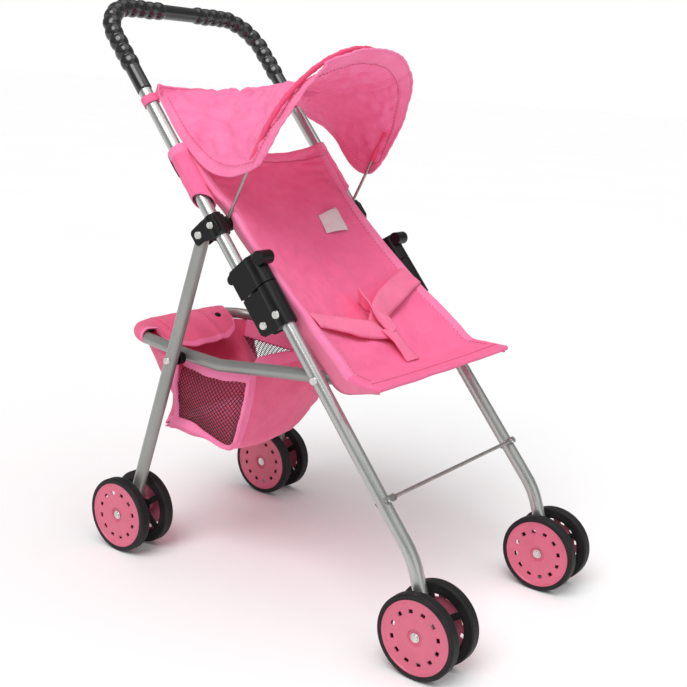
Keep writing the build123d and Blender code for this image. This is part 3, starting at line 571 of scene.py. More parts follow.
# the casing takes the darker copy of the cotton, painted shade
casing = sweep_tube("canopy_wire_casing", casing_pts, lambda i: 0.0024 + 0.00025 * math.sin(i * 0.9) + 0.0002 * math.sin(i * 2.3), SHADED_COTTON, sides=12)
canopy_parts.append(casing)

MH = Vector((0, -BOW_Z, BOW_Y))       # square to the bow's plane, forwards and down
hub = V(0, HUB_Y, HUB_Z)
c_start, c_end = hub + MH * -0.116, hub + MH * -0.006
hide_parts("canopy_cover")
for o in [canopy] + canopy_parts:
    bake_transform(o)
    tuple(c_start)
    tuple(c_end)
DECLARE.append((canopy, "hung", ["canopy_bow_wire", "handle_tube"], canopy_parts[6:]))

# ties that hold the canopy's rear corners to the handle
for side, word in ((-1, "right"), (1, "left")):
    pts = []
    s_c = 242.0
    cy, cz = sn(s_c, 0)
    cx = side * leg_x(cz)
    t = Vector((0, TY, TZ))
    n = Vector((0, NY, NZ))
    X = Vector((side, 0, 0))

    def tie_fn(u, v, cx=cx, cy=cy, cz=cz):
        a = 2 * math.pi * u
        r = 7.15 + 0.25 * math.sin(3 * a + v)
        off = (v - 0.5) * 8.0 + 0.5 * math.sin(2 * a)
        p = Vector((cx, cy, cz)) + Vector((1, 0, 0)) * (math.cos(a) * r) + n * (math.sin(a) * r) + t * off
        return V(p.x, p.y, p.z)
    tie = grid("canopy_tie_loop_" + word, int(40 * FINE), 6, tie_fn, [COTTON], thickness=0.0012, size=(0.045, 0.008))
    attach(tie, "handle_frame")
    if word == "right":
        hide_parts("canopy_rear_ties")
    end = canopy_fn(0.004 if side < 0 else 0.996, 0.985)
    a0 = V(cx - side * 3.0, cy + n.y * 6.8, cz + n.z * 6.8)

    def tab_fn(u, v, a0=a0, end=end):
        p = a0.lerp(end, v)
        return p + Vector((0, TY, TZ)) * ((u - 0.5) * 0.008) + Vector((0, 0, -0.0015)) * math.sin(math.pi * v)
    tab = grid("canopy_tie_tab_" + word, 4, 8, tab_fn, [COTTON], thickness=0.0012, size=(0.008, 0.012))
    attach(tab, "handle_frame")

# ------------------------------------------------------------ seat sling
A = [(-288.6, 231.4), (-279.0, 231.9), (-268.0, 232.6), (-253.2, 234.5)]
seat_rows = [
    # y, z of the hem, half width, sag in the middle, skirt depth
    (-288.8, 231.6, 111.8, 0.6, 4.0),
    (-279.0, 231.8, 111.6, 1.8, 6.0),
    (-268.0, 232.4, 109.5, 4.5, 11.0),
    (-253.2, 234.5, 104.0, 9.0, 20.0),
    (*sn(-61, 45.2), 102.0, 12.5, 21.0),
    (*sn(-45, 41.6), 101.2, 14.5, 20.0),
    (*sn(-30, 38.0), 100.2, 16.0, 18.5),
    (*sn(-12, 33.8), 97.4, 17.0, 16.0),
    (*sn(10, 29.0), 96.4, 17.5, 13.0),
    (*sn(31, 25.0), 95.6, 17.5, 10.0),
    (*sn(50, 21.3), 95.4, 16.5, 8.5),
    (*sn(70, 18.1), 95.2, 14.5, 9.0),
    (*sn(90, 15.6), 94.0, 12.0, 10.0),
    (*sn(108, 14.0), 92.6, 9.5, 10.0),
    (*sn(120, 12.2), 93.6, 8.0, 9.0),
    (*sn(132, 9.4), 96.6, 6.5, 7.0),
    (*sn(146, 8.4), 98.6, 5.5, 5.0),
    (*sn(160, 8.2), 99.4, 5.0, 4.0),
    (*sn(174, 8.0), 99.6, 4.5, 3.0),
    (*sn(187, 7.8), 99.6, 3.5, 2.0),
]
seat_keys = chord_keys([(r[0], r[1], 0.0, r[2], r[3], r[4]) for r in seat_rows])
# rows are (t, y, z, 0, half width, sag, skirt)
SKIRT = 0.075


def seat_surface(q, v, lift=0.0):
    """q -1 to 1 from hem to hem, v 0 at the front and 1 at the top; beyond 1 is the skirt that hangs inside the tubes."""
    y, z, _, hw, sag, skirt = table(seat_keys, v)
    a = abs(q)
    side = -1.0 if q < 0 else 1.0
    # the face turns from up, at the front, to the tubes' own normal, further back
    t = smooth((v - 0.04) / 0.12)
    ny, nz = lerp(0.0, NY, t), lerp(1.0, NZ, t)
    m = math.hypot(ny, nz)
    ny, nz = ny / m, nz / m
    if a <= 1.0:
        w = (1 - a ** 2.4)
        d = -sag * w
        x = q * hw
        # the sling pulls tight from corner to corner, so soft folds fan out
        p = (x, y, z)
        tt = smooth((1 - a) / 0.25)
        body = smooth((v - 0.03) / 0.1) * tt
        cr = 2.6 * fbm((x, y, z), 0.020, 3, 5.0) + 0.9 * fbm((x * 0.8, y, z), 0.07, 2, 8.0)
        diag = math.sin((x * side * 0.6 + (y + z) * 0.55) / 13.0 + 2.0 * fbm((x, y, z), 0.012, 1, 2.0))
        low = smooth((0.50 - v) / 0.2) * smooth((v - 0.10) / 0.1)
        fold = 1.3 * diag * low * tt
        top_fold = 0.9 * math.sin(v * 160 + 1.4 * fbm((x, y, z), 0.02, 2, 7.0)) * smooth((v - 0.80) / 0.1) * smooth((a - 0.4) / 0.5)
        d += (cr + fold) * body + top_fold * tt
        if v > 0.9:                                    # the top edge dips between the tubes
            dip = smooth((v - 0.9) / 0.1) * (1 - a ** 2.2) * 11.0
            y, z = y - TY * dip, z - TZ * dip
        hem = 0.9 * smooth((a * hw - (hw - 8.6)) / 0.7) - 0.8 * math.exp(-((a * hw - (hw - 9.4)) / 0.8) ** 2)
        d += hem * smooth((v - 0.10) / 0.03)
        if v > 0.955:
            d += 0.6
        elif 0.95 < v:
            d -= 0.5
        return V(x, y + ny * (d + lift), z + nz * (d + lift))
    # skirt
    f = (a - 1.0) / SKIRT
    roll = 1.5
    wob = 0.9 * fbm((q * 30, y, z), 0.05, 2, 4.0) + 0.5 * math.sin((y + z) / 7.0)
    drop = roll + skirt * f
    x = side * (hw + (0.5 if f < 0.5 else 0.2) - 2.6 * f + wob * f * 0.8)
    d = -drop + wob * 0.6 * f
    return V(x, y + ny * d, z + nz * d)


NSU, NSV = int(150 * FINE), int(230 * FINE)


def seat_fn(u, v):
    q = (2 * u - 1) * (1 + SKIRT)
    return seat_surface(q, v)


# hem bands take the lighter hem copy, painted light, and the skirts the darker skirt copy, painted shade
def seat_band(u, v):
    q = abs((2 * u - 1) * (1 + SKIRT))
    if q > 1.012:
        return 2
    if (q > 0.905 and v > 0.11) or v > 0.955:
        return 1
    return 0


# darker copy of the pink cotton: painted shade of the seat's skirts beside the tubes
SHADED_SKIRT_CLOTH = fabric("skirt_cotton_painted_shade", (0.78, 0.16, 0.29), (0.86, 0.20, 0.34), crinkle=0.6)
seat = grid("seat_sling", NSU, NSV, seat_fn, [COTTON, LIT_HEM, SHADED_SKIRT_CLOTH], thickness=0.0011, size=(0.225, 0.32), band=seat_band)

# rolled front hem round the seat wire
roll_pts = [seat_surface(-1.0 + 2 * i / 90, 0.0) + Vector((0, 0.0004 - 0.0, -0.0020 + 0.0002 * math.sin(i * 0.23))) for i in range(91)]
front_hem = sweep_tube("seat_front_hem", roll_pts, lambda i: 0.0024 + 0.00012 * math.sin(i * 0.31), COTTON, sides=14)


def under_fn(u, v):
    p = seat_surface(-0.985 + 1.97 * u, 0.0)
    q = seat_surface(-0.985 + 1.97 * u, 0.075)
    back = 0.0155 * v
    return Vector((p.x, p.y + back + 0.0006, p.z - 0.0036 + 0.0006 * v))


under_hem = grid("seat_front_hem_under", int(80 * FINE), 6, under_fn, [COTTON], thickness=0.0009, size=(0.2, 0.015))


def seat_line(q, v0, v1, n=150, lift=0.7):
    pts, nn = [], []
    for i in range(n + 1):
        v = lerp(v0, v1, i / n)
        p = seat_surface(q, v)
        e = 0.004
        du = seat_surface(q + 0.02 if q < 0 else q - 0.02, v) - p
        dv = seat_surface(q, min(1, v + e)) - seat_surface(q, max(0, v - e))
        m = dv.cross(du).normalized()
        if m.z < 0:
            m.negate()
        pts.append(p + m * lift / 1000)
        nn.append(m)
    return pts, nn


seat_parts = [front_hem, under_hem]
for q, word in ((-0.905, "right"), (0.905, "left")):
    pts, nn = seat_line(q, 0.05, 0.94)
    seat_parts.append(dashes("seat_stitch_" + word, pts, nn, THREAD))


def cross_line(v, n=90, lift=0.75):
    pts, nn = [], []
    for i in range(n + 1):
        q = -0.97 + 1.94 * i / n
        p = seat_surface(q, v)
        du = seat_surface(q + 0.02, v) - seat_surface(q - 0.02, v)
        dv = seat_surface(q, v + 0.004) - seat_surface(q, v - 0.004)
        m = du.cross(dv).normalized()
        if m.z < 0:
            m.negate()
        pts.append(p + m * lift / 1000)
        nn.append(m)
    return pts, nn


for v, word in ((0.030, "front"), (0.948, "top")):
    pts, nn = cross_line(v)
    seat_parts.append(dashes("seat_stitch_" + word, pts, nn, THREAD))

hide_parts("seat_base_cover", "seat_back_cover")
for o in [seat] + seat_parts:
    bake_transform(o)
DECLARE.append((seat, "hung", ["seat_front_wire", "handle_tube"], [front_hem, under_hem]))

# sleeves of the seat round the handle tubes
for side, word in ((-1, "right"), (1, "left")):
    def sleeve_fn(u, v, side=side):
        a = 2 * math.pi * u
        # the lower edge is cut on a slant: longer towards the seat
        inward = 0.5 - 0.5 * math.cos(a)          # 1 on the inner side
        s0 = 137.0 - 15.0 * inward
        s = lerp(s0, 187.0 + 1.2 * math.sin(a), v)
        cy, cz = sn(s, 0)
        cx = side * leg_x(cz)
        wr = 0.55 * math.sin(s / 2.6 + 2.2 * math.sin(a)) * (1 - 0.6 * v) + 0.9 * fbm((cx + 10 * math.cos(a), s, 10 * math.sin(a)), 0.06, 2, 6.0)
        r = 7.65 + wr * 0.55 + 0.55 * smooth((v - 0.86) / 0.03) + 0.7 * (1 - v) ** 2
        r -= 0.35 * math.exp(-((v - 0.85) / 0.012) ** 2)
        p = Vector((cx, cy, cz)) + Vector((side, 0, 0)) * (math.cos(a) * r) + Vector((0, NY, NZ)) * (math.sin(a) * (r + 0.5))
        return V(p.x, p.y, p.z)
    slv = grid("seat_sleeve_" + word, int(44 * FINE), int(60 * FINE), sleeve_fn, [COTTON, LIT_HEM], thickness=0.0011, size=(0.05, 0.055),
               band=lambda u, v: 1 if v > 0.85 else 0, offset=0.6)
    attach(slv, "handle_frame")
    DECLARE.append((slv, "stretched", ["handle_tube"], []))

    # black hook tape behind the sleeve
    def tab_fn(u, v, side=side):
        s = lerp(163.5, 185.5, v)
        a = lerp(-2.35, -0.95, u)
        r = 9.2 + 0.7 * math.sin(math.pi * u) + 0.5 * math.sin(v * 3.0)
        cy, cz = sn(s, 0)
        cx = side * leg_x(cz)
        p = Vector((cx, cy, cz)) + Vector((side, 0, 0)) * (math.cos(a) * r * 0.9) + Vector((0, NY, NZ)) * (math.sin(a) * r)
        return V(p.x, p.y, p.z)
    tb = grid("hook_tab_" + word, 12, 16, tab_fn, [HOOK], thickness=0.0016, size=(0.014, 0.022))
    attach(tb, "handle_frame")
    if word == "right":
        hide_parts("seat_sleeve_tabs")

# care label, blank
def label_fn(u, v):
    # sewn in at the hem, and lying loose over the sling
    x = lerp(63.0, 34.0, v) + 3.0 * (u - 0.5)
    s = lerp(78.0, 106.0, u) + 7.0 * v * (0.3 - u)
    q = x / 94.0
    vv = 0.0
    lo, hi = 0.0, 1.0
    ty, tz = sn(s, 13)
    for _ in range(18):
        vv = (lo + hi) / 2
        yy, zz = table(seat_keys, vv)[:2]
        if (yy - PIV_Y) * TY + (zz - PIV_Z) * TZ < s:
            lo = vv
        else:
            hi = vv
    p = seat_surface(q, vv)
    up = 1.6 + 2.0 * v * (1 - v) * 4 * 0.5 + 1.0 * math.sin(3.0 * v + u)
    return p + Vector((0, NY, NZ)) * (up / 1000)


label = grid("care_label_blank", 20, 24, label_fn, [SATIN], thickness=0.0005, size=(0.028, 0.03))
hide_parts("care_label")
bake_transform(label)
DECLARE.append((label, "laid", ["seat_sling"], []))


# ------------------------------------------------------------ harness
def on_seat(x, s, up):
    """Point over the sling at distance x from the middle and s along the tubes, in millimetres."""
    lo, hi = 0.0, 1.0
    for _ in range(18):
        vv = (lo + hi) / 2
        yy, zz = table(seat_keys, vv)[:2]
        if (yy - PIV_Y) * TY + (zz - PIV_Z) * TZ < s:
            lo = vv
        else:
            hi = vv
    hw = table(seat_keys, vv)[3]
    p = seat_surface(max(-1, min(1, x / hw)), vv)
    return (p.x * 1000, p.y * 1000 - SHIFT + NY * up, p.z * 1000 + NZ * up)


UPN = (0.0, -0.62, 0.78)
straps = []
far = [(*on_seat(93, 8, 1.5), -0.30, -0.55, 0.78), (*on_seat(76, 3, 5), -0.25, -0.62, 0.74), (*on_seat(56, -4, 8.5), -0.2, -0.72, 0.66),
       (*on_seat(36, -11, 11.5), -0.15, -0.80, 0.56), (*on_seat(18, -18, 13), 0.05, -0.86, 0.46), (*on_seat(4, -26, 12), 0.15, -0.80, 0.54),
       (*on_seat(-4, -36, 7.0), 0.0, -0.62, 0.78)]
ob_far, l_far = ribbon("lap_belt_far", far, 0.0245, WEBBING, n=int(70 * FINE))
near = [(*on_seat(-92, -18, 1.5), 0.28, -0.50, 0.82), (*on_seat(-78, -20, 4), 0.3, -0.52, 0.78), (*on_seat(-58, -26, 7), 0.3, -0.62, 0.7),
        (*on_seat(-38, -34, 8), 0.12, -0.72, 0.66), (*on_seat(-18, -40, 7.5), -0.2, -0.66, 0.7), (*on_seat(-4, -44, 5.5), 0.0, -0.5, 0.86)]
ob_near, l_near = ribbon("lap_belt_near", near, 0.0195, WEBBING, n=int(70 * FINE))
twist = [(*on_seat(6, 2, 7.0), 0.95, -0.15, 0.25), (*on_seat(-3, -9, 13.0), 0.85, -0.45, 0.30), (*on_seat(-5, -21, 16.0), 0.55, -0.75, 0.35),
         (*on_seat(0, -34, 13.0), 0.1, -0.85, 0.5), (*on_seat(6, -47, 7.0), 0.0, -0.6, 0.8)]
ob_tw, l_tw = ribbon("lap_belt_tail", twist, 0.0175, WEBBING, n=int(50 * FINE))
crotch = [(*on_seat(1, -79, 1.4), 0.0, -0.35, 0.93), (*on_seat(1, -72, 3.2), 0.05, -0.2, 0.97), (*on_seat(0, -62, 6.0), 0.1, -0.25, 0.96),
          (*on_seat(-1, -52, 7.5), 0.1, -0.5, 0.85), (*on_seat(-1, -43, 7.6), 0.0, -0.65, 0.74)]
ob_cr, l_cr = ribbon("crotch_strap_ribbon", crotch, 0.0195, WEBBING, n=int(50 * FINE))
for o in (ob_far, ob_near, ob_tw, ob_cr):
    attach(o, "front_frame")
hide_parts("lap_belt")
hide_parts("crotch_strap")
DECLARE.append((ob_far, "laid", ["seat_sling"], []))
DECLARE.append((ob_near, "laid", ["seat_sling"], []))
DECLARE.append((ob_tw, "laid", ["seat_sling"], []))
DECLARE.append((ob_cr, "laid", ["seat_sling"], []))

# ------------------------------------------------------------ handle grip
path = []
s0, s1 = 253.6, 354.5
corner = 40.0


def handle_xyz(d):
    """Distance along the grip, from its right end, returned as it is given."""
    return d


top_y, top_z = sn(354.5, 0)
legA = []
rad = corner
cxr = leg_x(top_z)


def grip_path():
    pts = []
    y0, z0 = sn(s0, 0)
    y1, z1 = sn(s1, 0)
    e0 = Vector((-leg_x(z0), y0, z0))
    corner_r = Vector((-leg_x(z1), y1, z1))
    corner_l = Vector((leg_x(z1), y1, z1))
    d0 = (e0 - corner_r).normalized()
    dx = Vector((1, 0, 0))
    ang = math.acos(max(-1, min(1, d0.dot(dx))))
    cut = rad / math.tan(ang / 2)
    tA, tB = corner_r + d0 * cut, corner_r + dx * cut
    bis = (d0 + dx).normalized()
    cen = corner_r + bis * (rad / math.sin(ang / 2))
    line = [e0.lerp(tA, i / 40) for i in range(40)]
    a0, b0 = (tA - cen), (tB - cen)
    full = math.pi - ang
    axis = a0.cross(b0).normalized()
    for i in range(41):
        line.append(cen + Matrix.Rotation(full * i / 40, 3, axis) @ a0)
    mir = [Vector((-p.x, p.y, p.z)) for p in reversed(line)]
    return line + mir


coarse = grip_path()
acc = [0.0]
for a, b in zip(coarse, coarse[1:]):
    acc.append(acc[-1] + (b - a).length)
total = acc[-1]
STEP = 0.9
n_pts = int(total / STEP)
gp, gd = [], []
j = 0
for i in range(n_pts + 1):
    d = total * i / n_pts
    while j < len(acc) - 2 and acc[j + 1] < d:
        j += 1
    t = (d - acc[j]) / (acc[j + 1] - acc[j])
    gp.append(coarse[j].lerp(coarse[j + 1], t))
    gd.append(d)
beads = [32.5 + 11.6 * k for k in range(12)]
beads += [total - b for b in beads]


def grip_r(d, a):
    r = 7.3
    e = min(d, total - d)
    if e < 0.8:
        r = 6.75 + 0.55 * math.sqrt(max(0.0, 1 - (1 - e / 0.8) ** 2))
    for b in beads:
        x = (d - b) / 5.6
        if abs(x) < 1:
            k = math.sqrt(1 - x * x)
            # each ring is moulded as finger-sized lobes round the tube
            lobe = 0.86 + 0.14 * math.cos(3 * a + (1.5 if beads.index(b) % 2 else 0.0))
            r = max(r, 6.5 + 2.55 * k * lobe)
    return r


SIDES = 30
verts, faces, uvs = [], [], []
ref = Vector((1, 0, 0))
first_t = (gp[1] - gp[0]).normalized()
ref = (Vector((0, NY, NZ)) - first_t * Vector((0, NY, NZ)).dot(first_t)).normalized()
for i, (p, d) in enumerate(zip(gp, gd)):
    t = (gp[min(i + 1, n_pts)] - gp[max(i - 1, 0)]).normalized()
    ref = (ref - t * ref.dot(t)).normalized()
    oth = t.cross(ref)
    for k in range(SIDES):
        a = 2 * math.pi * k / SIDES
        q = p + (ref * math.cos(a) + oth * math.sin(a)) * grip_r(d, a)
        verts.append(Vector((q.x / 1000, (q.y + SHIFT) / 1000, q.z / 1000)))
        uvs.append((k / SIDES * 0.05, d / 1000))
for i in range(n_pts):
    for k in range(SIDES):
        a, b = i * SIDES + k, i * SIDES + (k + 1) % SIDES
        faces.append((a, b, b + SIDES, a + SIDES))
# inner wall, so the ends are rings round the tube
for end, idx in ((0, 0), (1, n_pts)):
    t = (gp[1] - gp[0]).normalized() if end == 0 else (gp[-1] - gp[-2]).normalized()
    base = len(verts)
    c = gp[idx]
    rv = [Vector(((c.x) / 1000, (c.y + SHIFT) / 1000, c.z / 1000))]
    for k in range(SIDES):
        v0 = verts[idx * SIDES + k]
        dirv = (v0 - rv[0])
        verts.append(rv[0] + dirv.normalized() * 0.00642)
        uvs.append((0, 0))
    for k in range(SIDES):
        a, b = idx * SIDES + k, idx * SIDES + (k + 1) % SIDES
        ia, ib = base + k, base + (k + 1) % SIDES
        faces.append((a, ia, ib, b) if end == 0 else (a, b, ib, ia))
grip = mesh_object("handle_grip_beaded", verts, faces, GRIP, uvs)
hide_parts("handle_grip")
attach(grip, "handle_frame")

# ------------------------------------------------------------ basket
# the bars: side bars, corner at the rear, crossbar
bar_half = [(95.8, -132.0, 212.4), (95.8, -115.0, 210.3), (95.6, -98.0, 208.3), (93.6, -80.0, 207.2), (90.6, -62.0, 206.9), (88.2, -47.3, 207.1),
            (85.6, -25.0, 208.4), (82.6, 0.0, 209.9), (79.6, 18.0, 211.0), (72.0, 33.0, 211.9), (58.0, 42.0, 212.4), (44.0, 44.0, 212.5)]
# rear panel, one cloth from the near side round the back to the far side
rim = [(87.2, -36.0, 207.6), (85.0, -20.0, 208.6), (82.4, 0.0, 209.9), (77.5, 16.0, 211.0), (67.0, 31.0, 211.9), (54.0, 40.0, 212.4), (40.0, 42.0, 212.5)]
# on the far side the net reaches further back
rim_far = [(78.4, 19.0, 211.0), (74.4, 25.0, 211.4), (67.0, 32.0, 211.9), (54.0, 40.0, 212.4), (40.0, 42.0, 212.5)]
top_line = [(-x, y, z - 5.5) for x, y, z in rim] + [(0.0, 42.0, 207.0)] + [(x, y, z - 5.5) for x, y, z in reversed(rim_far)]
low_line = [(-83.0, -34.0, 137.0), (-82.5, -22.0, 131.0), (-81.0, -14.0, 127.0), (-72.0, -11.0, 124.0), (-55.0, -10.5, 123.0), (-30.0, -10.0, 122.5), (-12.0, -10.0, 122.0), (0.0, -10.0, 122.0),
            (12.0, -10.0, 122.0), (30.0, -10.0, 122.5), (55.0, -10.5, 123.0), (70.0, -10.5, 124.0), (78.0, -8.0, 127.0), (80.5, -4.0, 131.0), (81.0, 0.0, 136.0)]
tk, lk = chord_keys(top_line), chord_keys(low_line)


def rear_fn(u, v):
    a, b = Vector(table(tk, u)), Vector(table(lk, u))
    p = lerp(a, b, v)
    w = math.sin(math.pi * v)
    out = Vector((p.x / 90.0, 0.35, 0.0))
    e0 = min(u, 1 - u)
    pull = math.exp(-((e0 - 0.17) / 0.085) ** 2)
    p = p + Vector((-0.10 * (1 if u > 0.5 else -1), -1.0, 0.0)) * (24.0 * pull * math.sin(math.pi * v ** 1.1))
    sag = 4.0 * w * (1 - 0.5 * abs(2 * u - 1))
    fold = 1.6 * fbm(p, 0.035, 3, 14.0) + 0.9 * math.sin(u * 60 + 2.5 * v + 2 * fbm(p, 0.02, 1, 3.0)) * (1 - v) * 0.7
    p = p + out * (sag * 0.8 + fold * w) + Vector((0, 0, -1.0)) * (2.0 * w)
    # edges next to the nets are bound
    e = min(u, 1 - u) * 260.0
    p = p + out.normalized() * (0.7 * (1 - smooth((e - 7.0) / 1.0)))
    return V(p.x, p.y, p.z)


# bound edges take the lighter hem copy, painted light, and the rest the darker basket copy, painted shade
rear_panel = grid("basket_rear_panel", int(120 * FINE), int(44 * FINE), rear_fn, [SHADED_BASKET_CLOTH, LIT_HEM], thickness=0.0010, size=(0.27, 0.1),
                  band=lambda u, v: 1 if min(u, 1 - u) * 260 < 7.5 or v > 0.92 else 0)

# front panel and bottom, one cloth
front_rows = [
    # y, z, half width, sag forwards, sag down
    (-130.0, 212.0, 89.6, 0.0, 0.0),
    (-130.5, 202.0, 89.4, 2.5, 1.0),
    (-126.0, 175.0, 88.4, 5.0, 1.0),
    (-118.0, 150.0, 86.0, 4.5, 1.0),
    (-110.0, 128.0, 83.5, 2.5, 3.5),
    (-104.0, 121.0, 82.4, 0.5, 5.0),
    (-90.0, 119.5, 81.8, 0.0, 6.5),
    (-65.0, 119.5, 81.4, 0.0, 7.0),
    (-40.0, 121.5, 81.4, 0.0, 5.0),
    (-24.0, 123.5, 80.6, 0.0, 2.0),
    (-12.0, 124.5, 79.0, 0.0, 1.0),
]
fkeys = chord_keys([(r[0], r[1], 0.0, r[2], r[3], r[4]) for r in front_rows])


def fb_point(q, v):
    y, z, _, hw, fwd, down = table(fkeys, v)
    w = 1 - abs(q) ** 2.2
    x = q * hw
    # side edges of the bottom lift a little where the net pulls them
    lift = 0.0
    if v > 0.45:
        lift = (abs(q) ** 5) * (6.5 * math.sin(math.pi * (v - 0.45) / 0.55) + 1.2 * math.sin(v * 30.0))
    p = Vector((x, y - fwd * w, z - down * w + lift))
    # the cloth hangs unevenly: its lower front edge lies further back on the left
    back = (8.0 * smooth((q + 1) / 1.2) + 27.0 * max(0.0, q) ** 1.4) * smooth(v / 0.42) * (1 - smooth((v - 0.5) / 0.5))
    p.y += back
    if v < 0.12:
        t0 = 1 - smooth(v / 0.12)
        ax = abs(x)
        p.z += t0 * (7.0 * smooth((hw - ax) / 14.0) - 5.0 * max(0.0, 1 - ax / 64.0) ** 1.5)
        p.y += t0 * 4.0 * w
    cr = 1.5 * fbm(p, 0.03, 3, 17.0) + 0.6 * fbm(p, 0.09, 2, 4.0)
    inn = smooth((1 - abs(q)) / 0.12)
    t = smooth((v - 0.35) / 0.2)
    p.y -= cr * (1 - t) * inn
    p.z -= cr * t * inn
    if abs(q) * hw > hw - 8.0:
        p.x += (0.6 if q > 0 else -0.6)
    if v < 0.05:
        p.y -= 0.6
    return V(p.x, p.y, p.z)


front_panel = grid("basket_front_and_base", int(110 * FINE), int(90 * FINE), lambda u, v: fb_point(2 * u - 1, v), [SHADED_BASKET_CLOTH, LIT_HEM], thickness=0.0010,
                   size=(0.18, 0.17), band=lambda u, v: 1 if (abs(2 * u - 1) > 0.905 or v < 0.045) else 0)

# corners of the front panel wrap the side bars
basket_bits = []
for side, word in ((-1, "right"), (1, "left")):
    # vertical binding of the front corner
    pts = []
    for i in range(41):
        v = 0.44 * i / 40
        p = fb_point(side * 1.0, v)
        pts.append(p + Vector((side * 0.0006, 0.0, 0.0)))
    basket_bits.append(sweep_tube("basket_corner_bind_" + word, pts, lambda i: 0.0021 + 0.0002 * math.sin(i * 0.7), LIT_HEM, sides=10))

    # binding that hangs under the side bar, with the net below it
    def top_at(t, side=side):
        """Under the bar, from the front corner to the rear panel."""
        last = bar_half[:6] + [(87.0, -36.0, 207.7)] if side < 0 else bar_half[:8] + [(78.8, 19.0, 211.1)]
        row = table(chord_keys(last), t)
        return row

    def band_fn(u, v, side=side):
        x, y, z = top_at(u)
        drop = lerp(4.5, 15.0 if side < 0 else 24.0, v)
        wob = 0.8 * math.sin(u * 21 + v) + 1.2 * fbm((x, y, z), 0.05, 2, 11.0)
        return V(side * (x - 1.5 - 0.25 * drop + 0.5 * wob * v), y, z - drop - 1.3 * math.sin(math.pi * u) * v)
    bd = grid("basket_side_band_" + word, int(60 * FINE), 10, band_fn, [LIT_HEM], thickness=0.0010, size=(0.09, 0.012))
    basket_bits.append(bd)

    # shape of loops that would hold the band to the bar; no loop is built from it
    def loop_fn(u, v, side=side):
        a = 2 * math.pi * v
        x, y, z = top_at(lerp(0.02, 0.98, u))
        r = 6.9 + 0.25 * math.sin(u * 40)
        return V(side * (x + r * math.cos(a)), y, z + r * math.sin(a))

    def low_edge(a, side=side):
        """Top of the curled band along the lower edge, a 0 at the front corner."""
        h = table([[0.0, 2.0], [0.3, 5.0], [0.5, 6.0], [0.68, 13.0], [0.85, 12.0], [1.0, 8.0]], a)[0]
        p = fb_point(side * 1.0, lerp(0.44, 0.93, a))
        return p + Vector((side * 0.0016, 0.0, h / 1000))

    def low_band(u, v, side=side):
        p = fb_point(side * 1.0, lerp(0.43, 0.95, u))
        q = low_edge(u)
        m = p.lerp(q, v)
        return m + Vector((side * 0.0035 * math.sin(math.pi * v), 0.0, -0.0012 * math.sin(math.pi * v)))
    basket_bits.append(grid("basket_low_band_" + word, int(60 * FINE), 10, low_band, [LIT_HEM], thickness=0.0010, size=(0.09, 0.012)))

    # net: two sets of cords on a curved patch
    lowk = chord_keys([tuple((fb_point(side * 1.0, lerp(0.40, 1.0, k / 10)) * 1000)[:]) for k in range(11)])
    rear_edge = [rear_fn(0.0 if side < 0 else 1.0, k / 10) for k in range(11)]
    front_edge = [fb_point(side * 1.0, 0.44 * k / 10) for k in range(11)]

    def along(seq, t):
        t = max(0.0, min(1.0, t)) * (len(seq) - 1)
        i = min(len(seq) - 2, int(t))
        return seq[i].lerp(seq[i + 1], t - i)

    def net_point(a, b, side=side, rear_edge=rear_edge, front_edge=front_edge):
        """a 0 at the front corner and 1 at the rear panel, b 0 at the top and 1 at the bottom."""
        x, y, z = top_at(a)
        drop = 13.5 if side < 0 else 22.5
        top = V(side * (x - 1.5 - 0.25 * drop), y, z - drop - 1.3 * math.sin(math.pi * a))
        vb = lerp(0.44, 0.93, a)
        bot = low_edge(a)
        f0, f1 = along(front_edge, lerp(0.10, 1.0, b)), along(rear_edge, lerp(0.10, 0.97, b))
        c00, c01 = along(front_edge, 0.10), along(front_edge, 1.0)
        c10, c11 = along(rear_edge, 0.10), along(rear_edge, 0.97)
        ruled = top.lerp(bot, b)
        edge = f0.lerp(f1, a)
        corner_p = (c00.lerp(c10, a)).lerp(c01.lerp(c11, a), b)
        p = ruled + edge - corner_p
        bulge = math.sin(math.pi * a) * math.sin(math.pi * b)
        # the rim of the net lies on the inner side of its bands
        edge_in = 0.0008 * (1 - smooth(min(b, 1 - b, a, 1 - a) / 0.05))
        p = p + Vector((side * (0.0035 * bulge - edge_in), 0, -0.001 * bulge))
        return p

    verts, faces = [], []

    def strand(pts3, r=0.00036, bias=0.0):
        base = len(verts)
        n = len(pts3)
        for i, p in enumerate(pts3):
            t = (pts3[min(i + 1, n - 1)] - pts3[max(i - 1, 0)])
            if t.length < 1e-9:
                t = Vector((0, 0, 1))
            t.normalize()
            o1 = Vector((side, 0, 0))
            o1 = (o1 - t * o1.dot(t)).normalized()
            o2 = t.cross(o1)
            for k in range(4):
                an = math.pi / 4 + math.pi / 2 * k
                verts.append(p + o1 * (bias + math.cos(an) * r) + o2 * (math.sin(an) * r * 1.25))
        for i in range(n - 1):
            for k in range(4):
                a_, b_ = base + i * 4 + k, base + i * 4 + (k + 1) % 4
                faces.append((a_, b_, b_ + 4, a_ + 4))
        faces.append((base + 3, base + 2, base + 1, base))
        e = base + (n - 1) * 4
        faces.append((e, e + 1, e + 2, e + 3))

    W_MM, H_MM, PITCH = (84.0 if side < 0 else 134.0), 66.0, 4.3
    count = int((W_MM + H_MM) / PITCH)
    for sgn in (1, -1):
        for k in range(-count, count + 1):
            pts3 = []
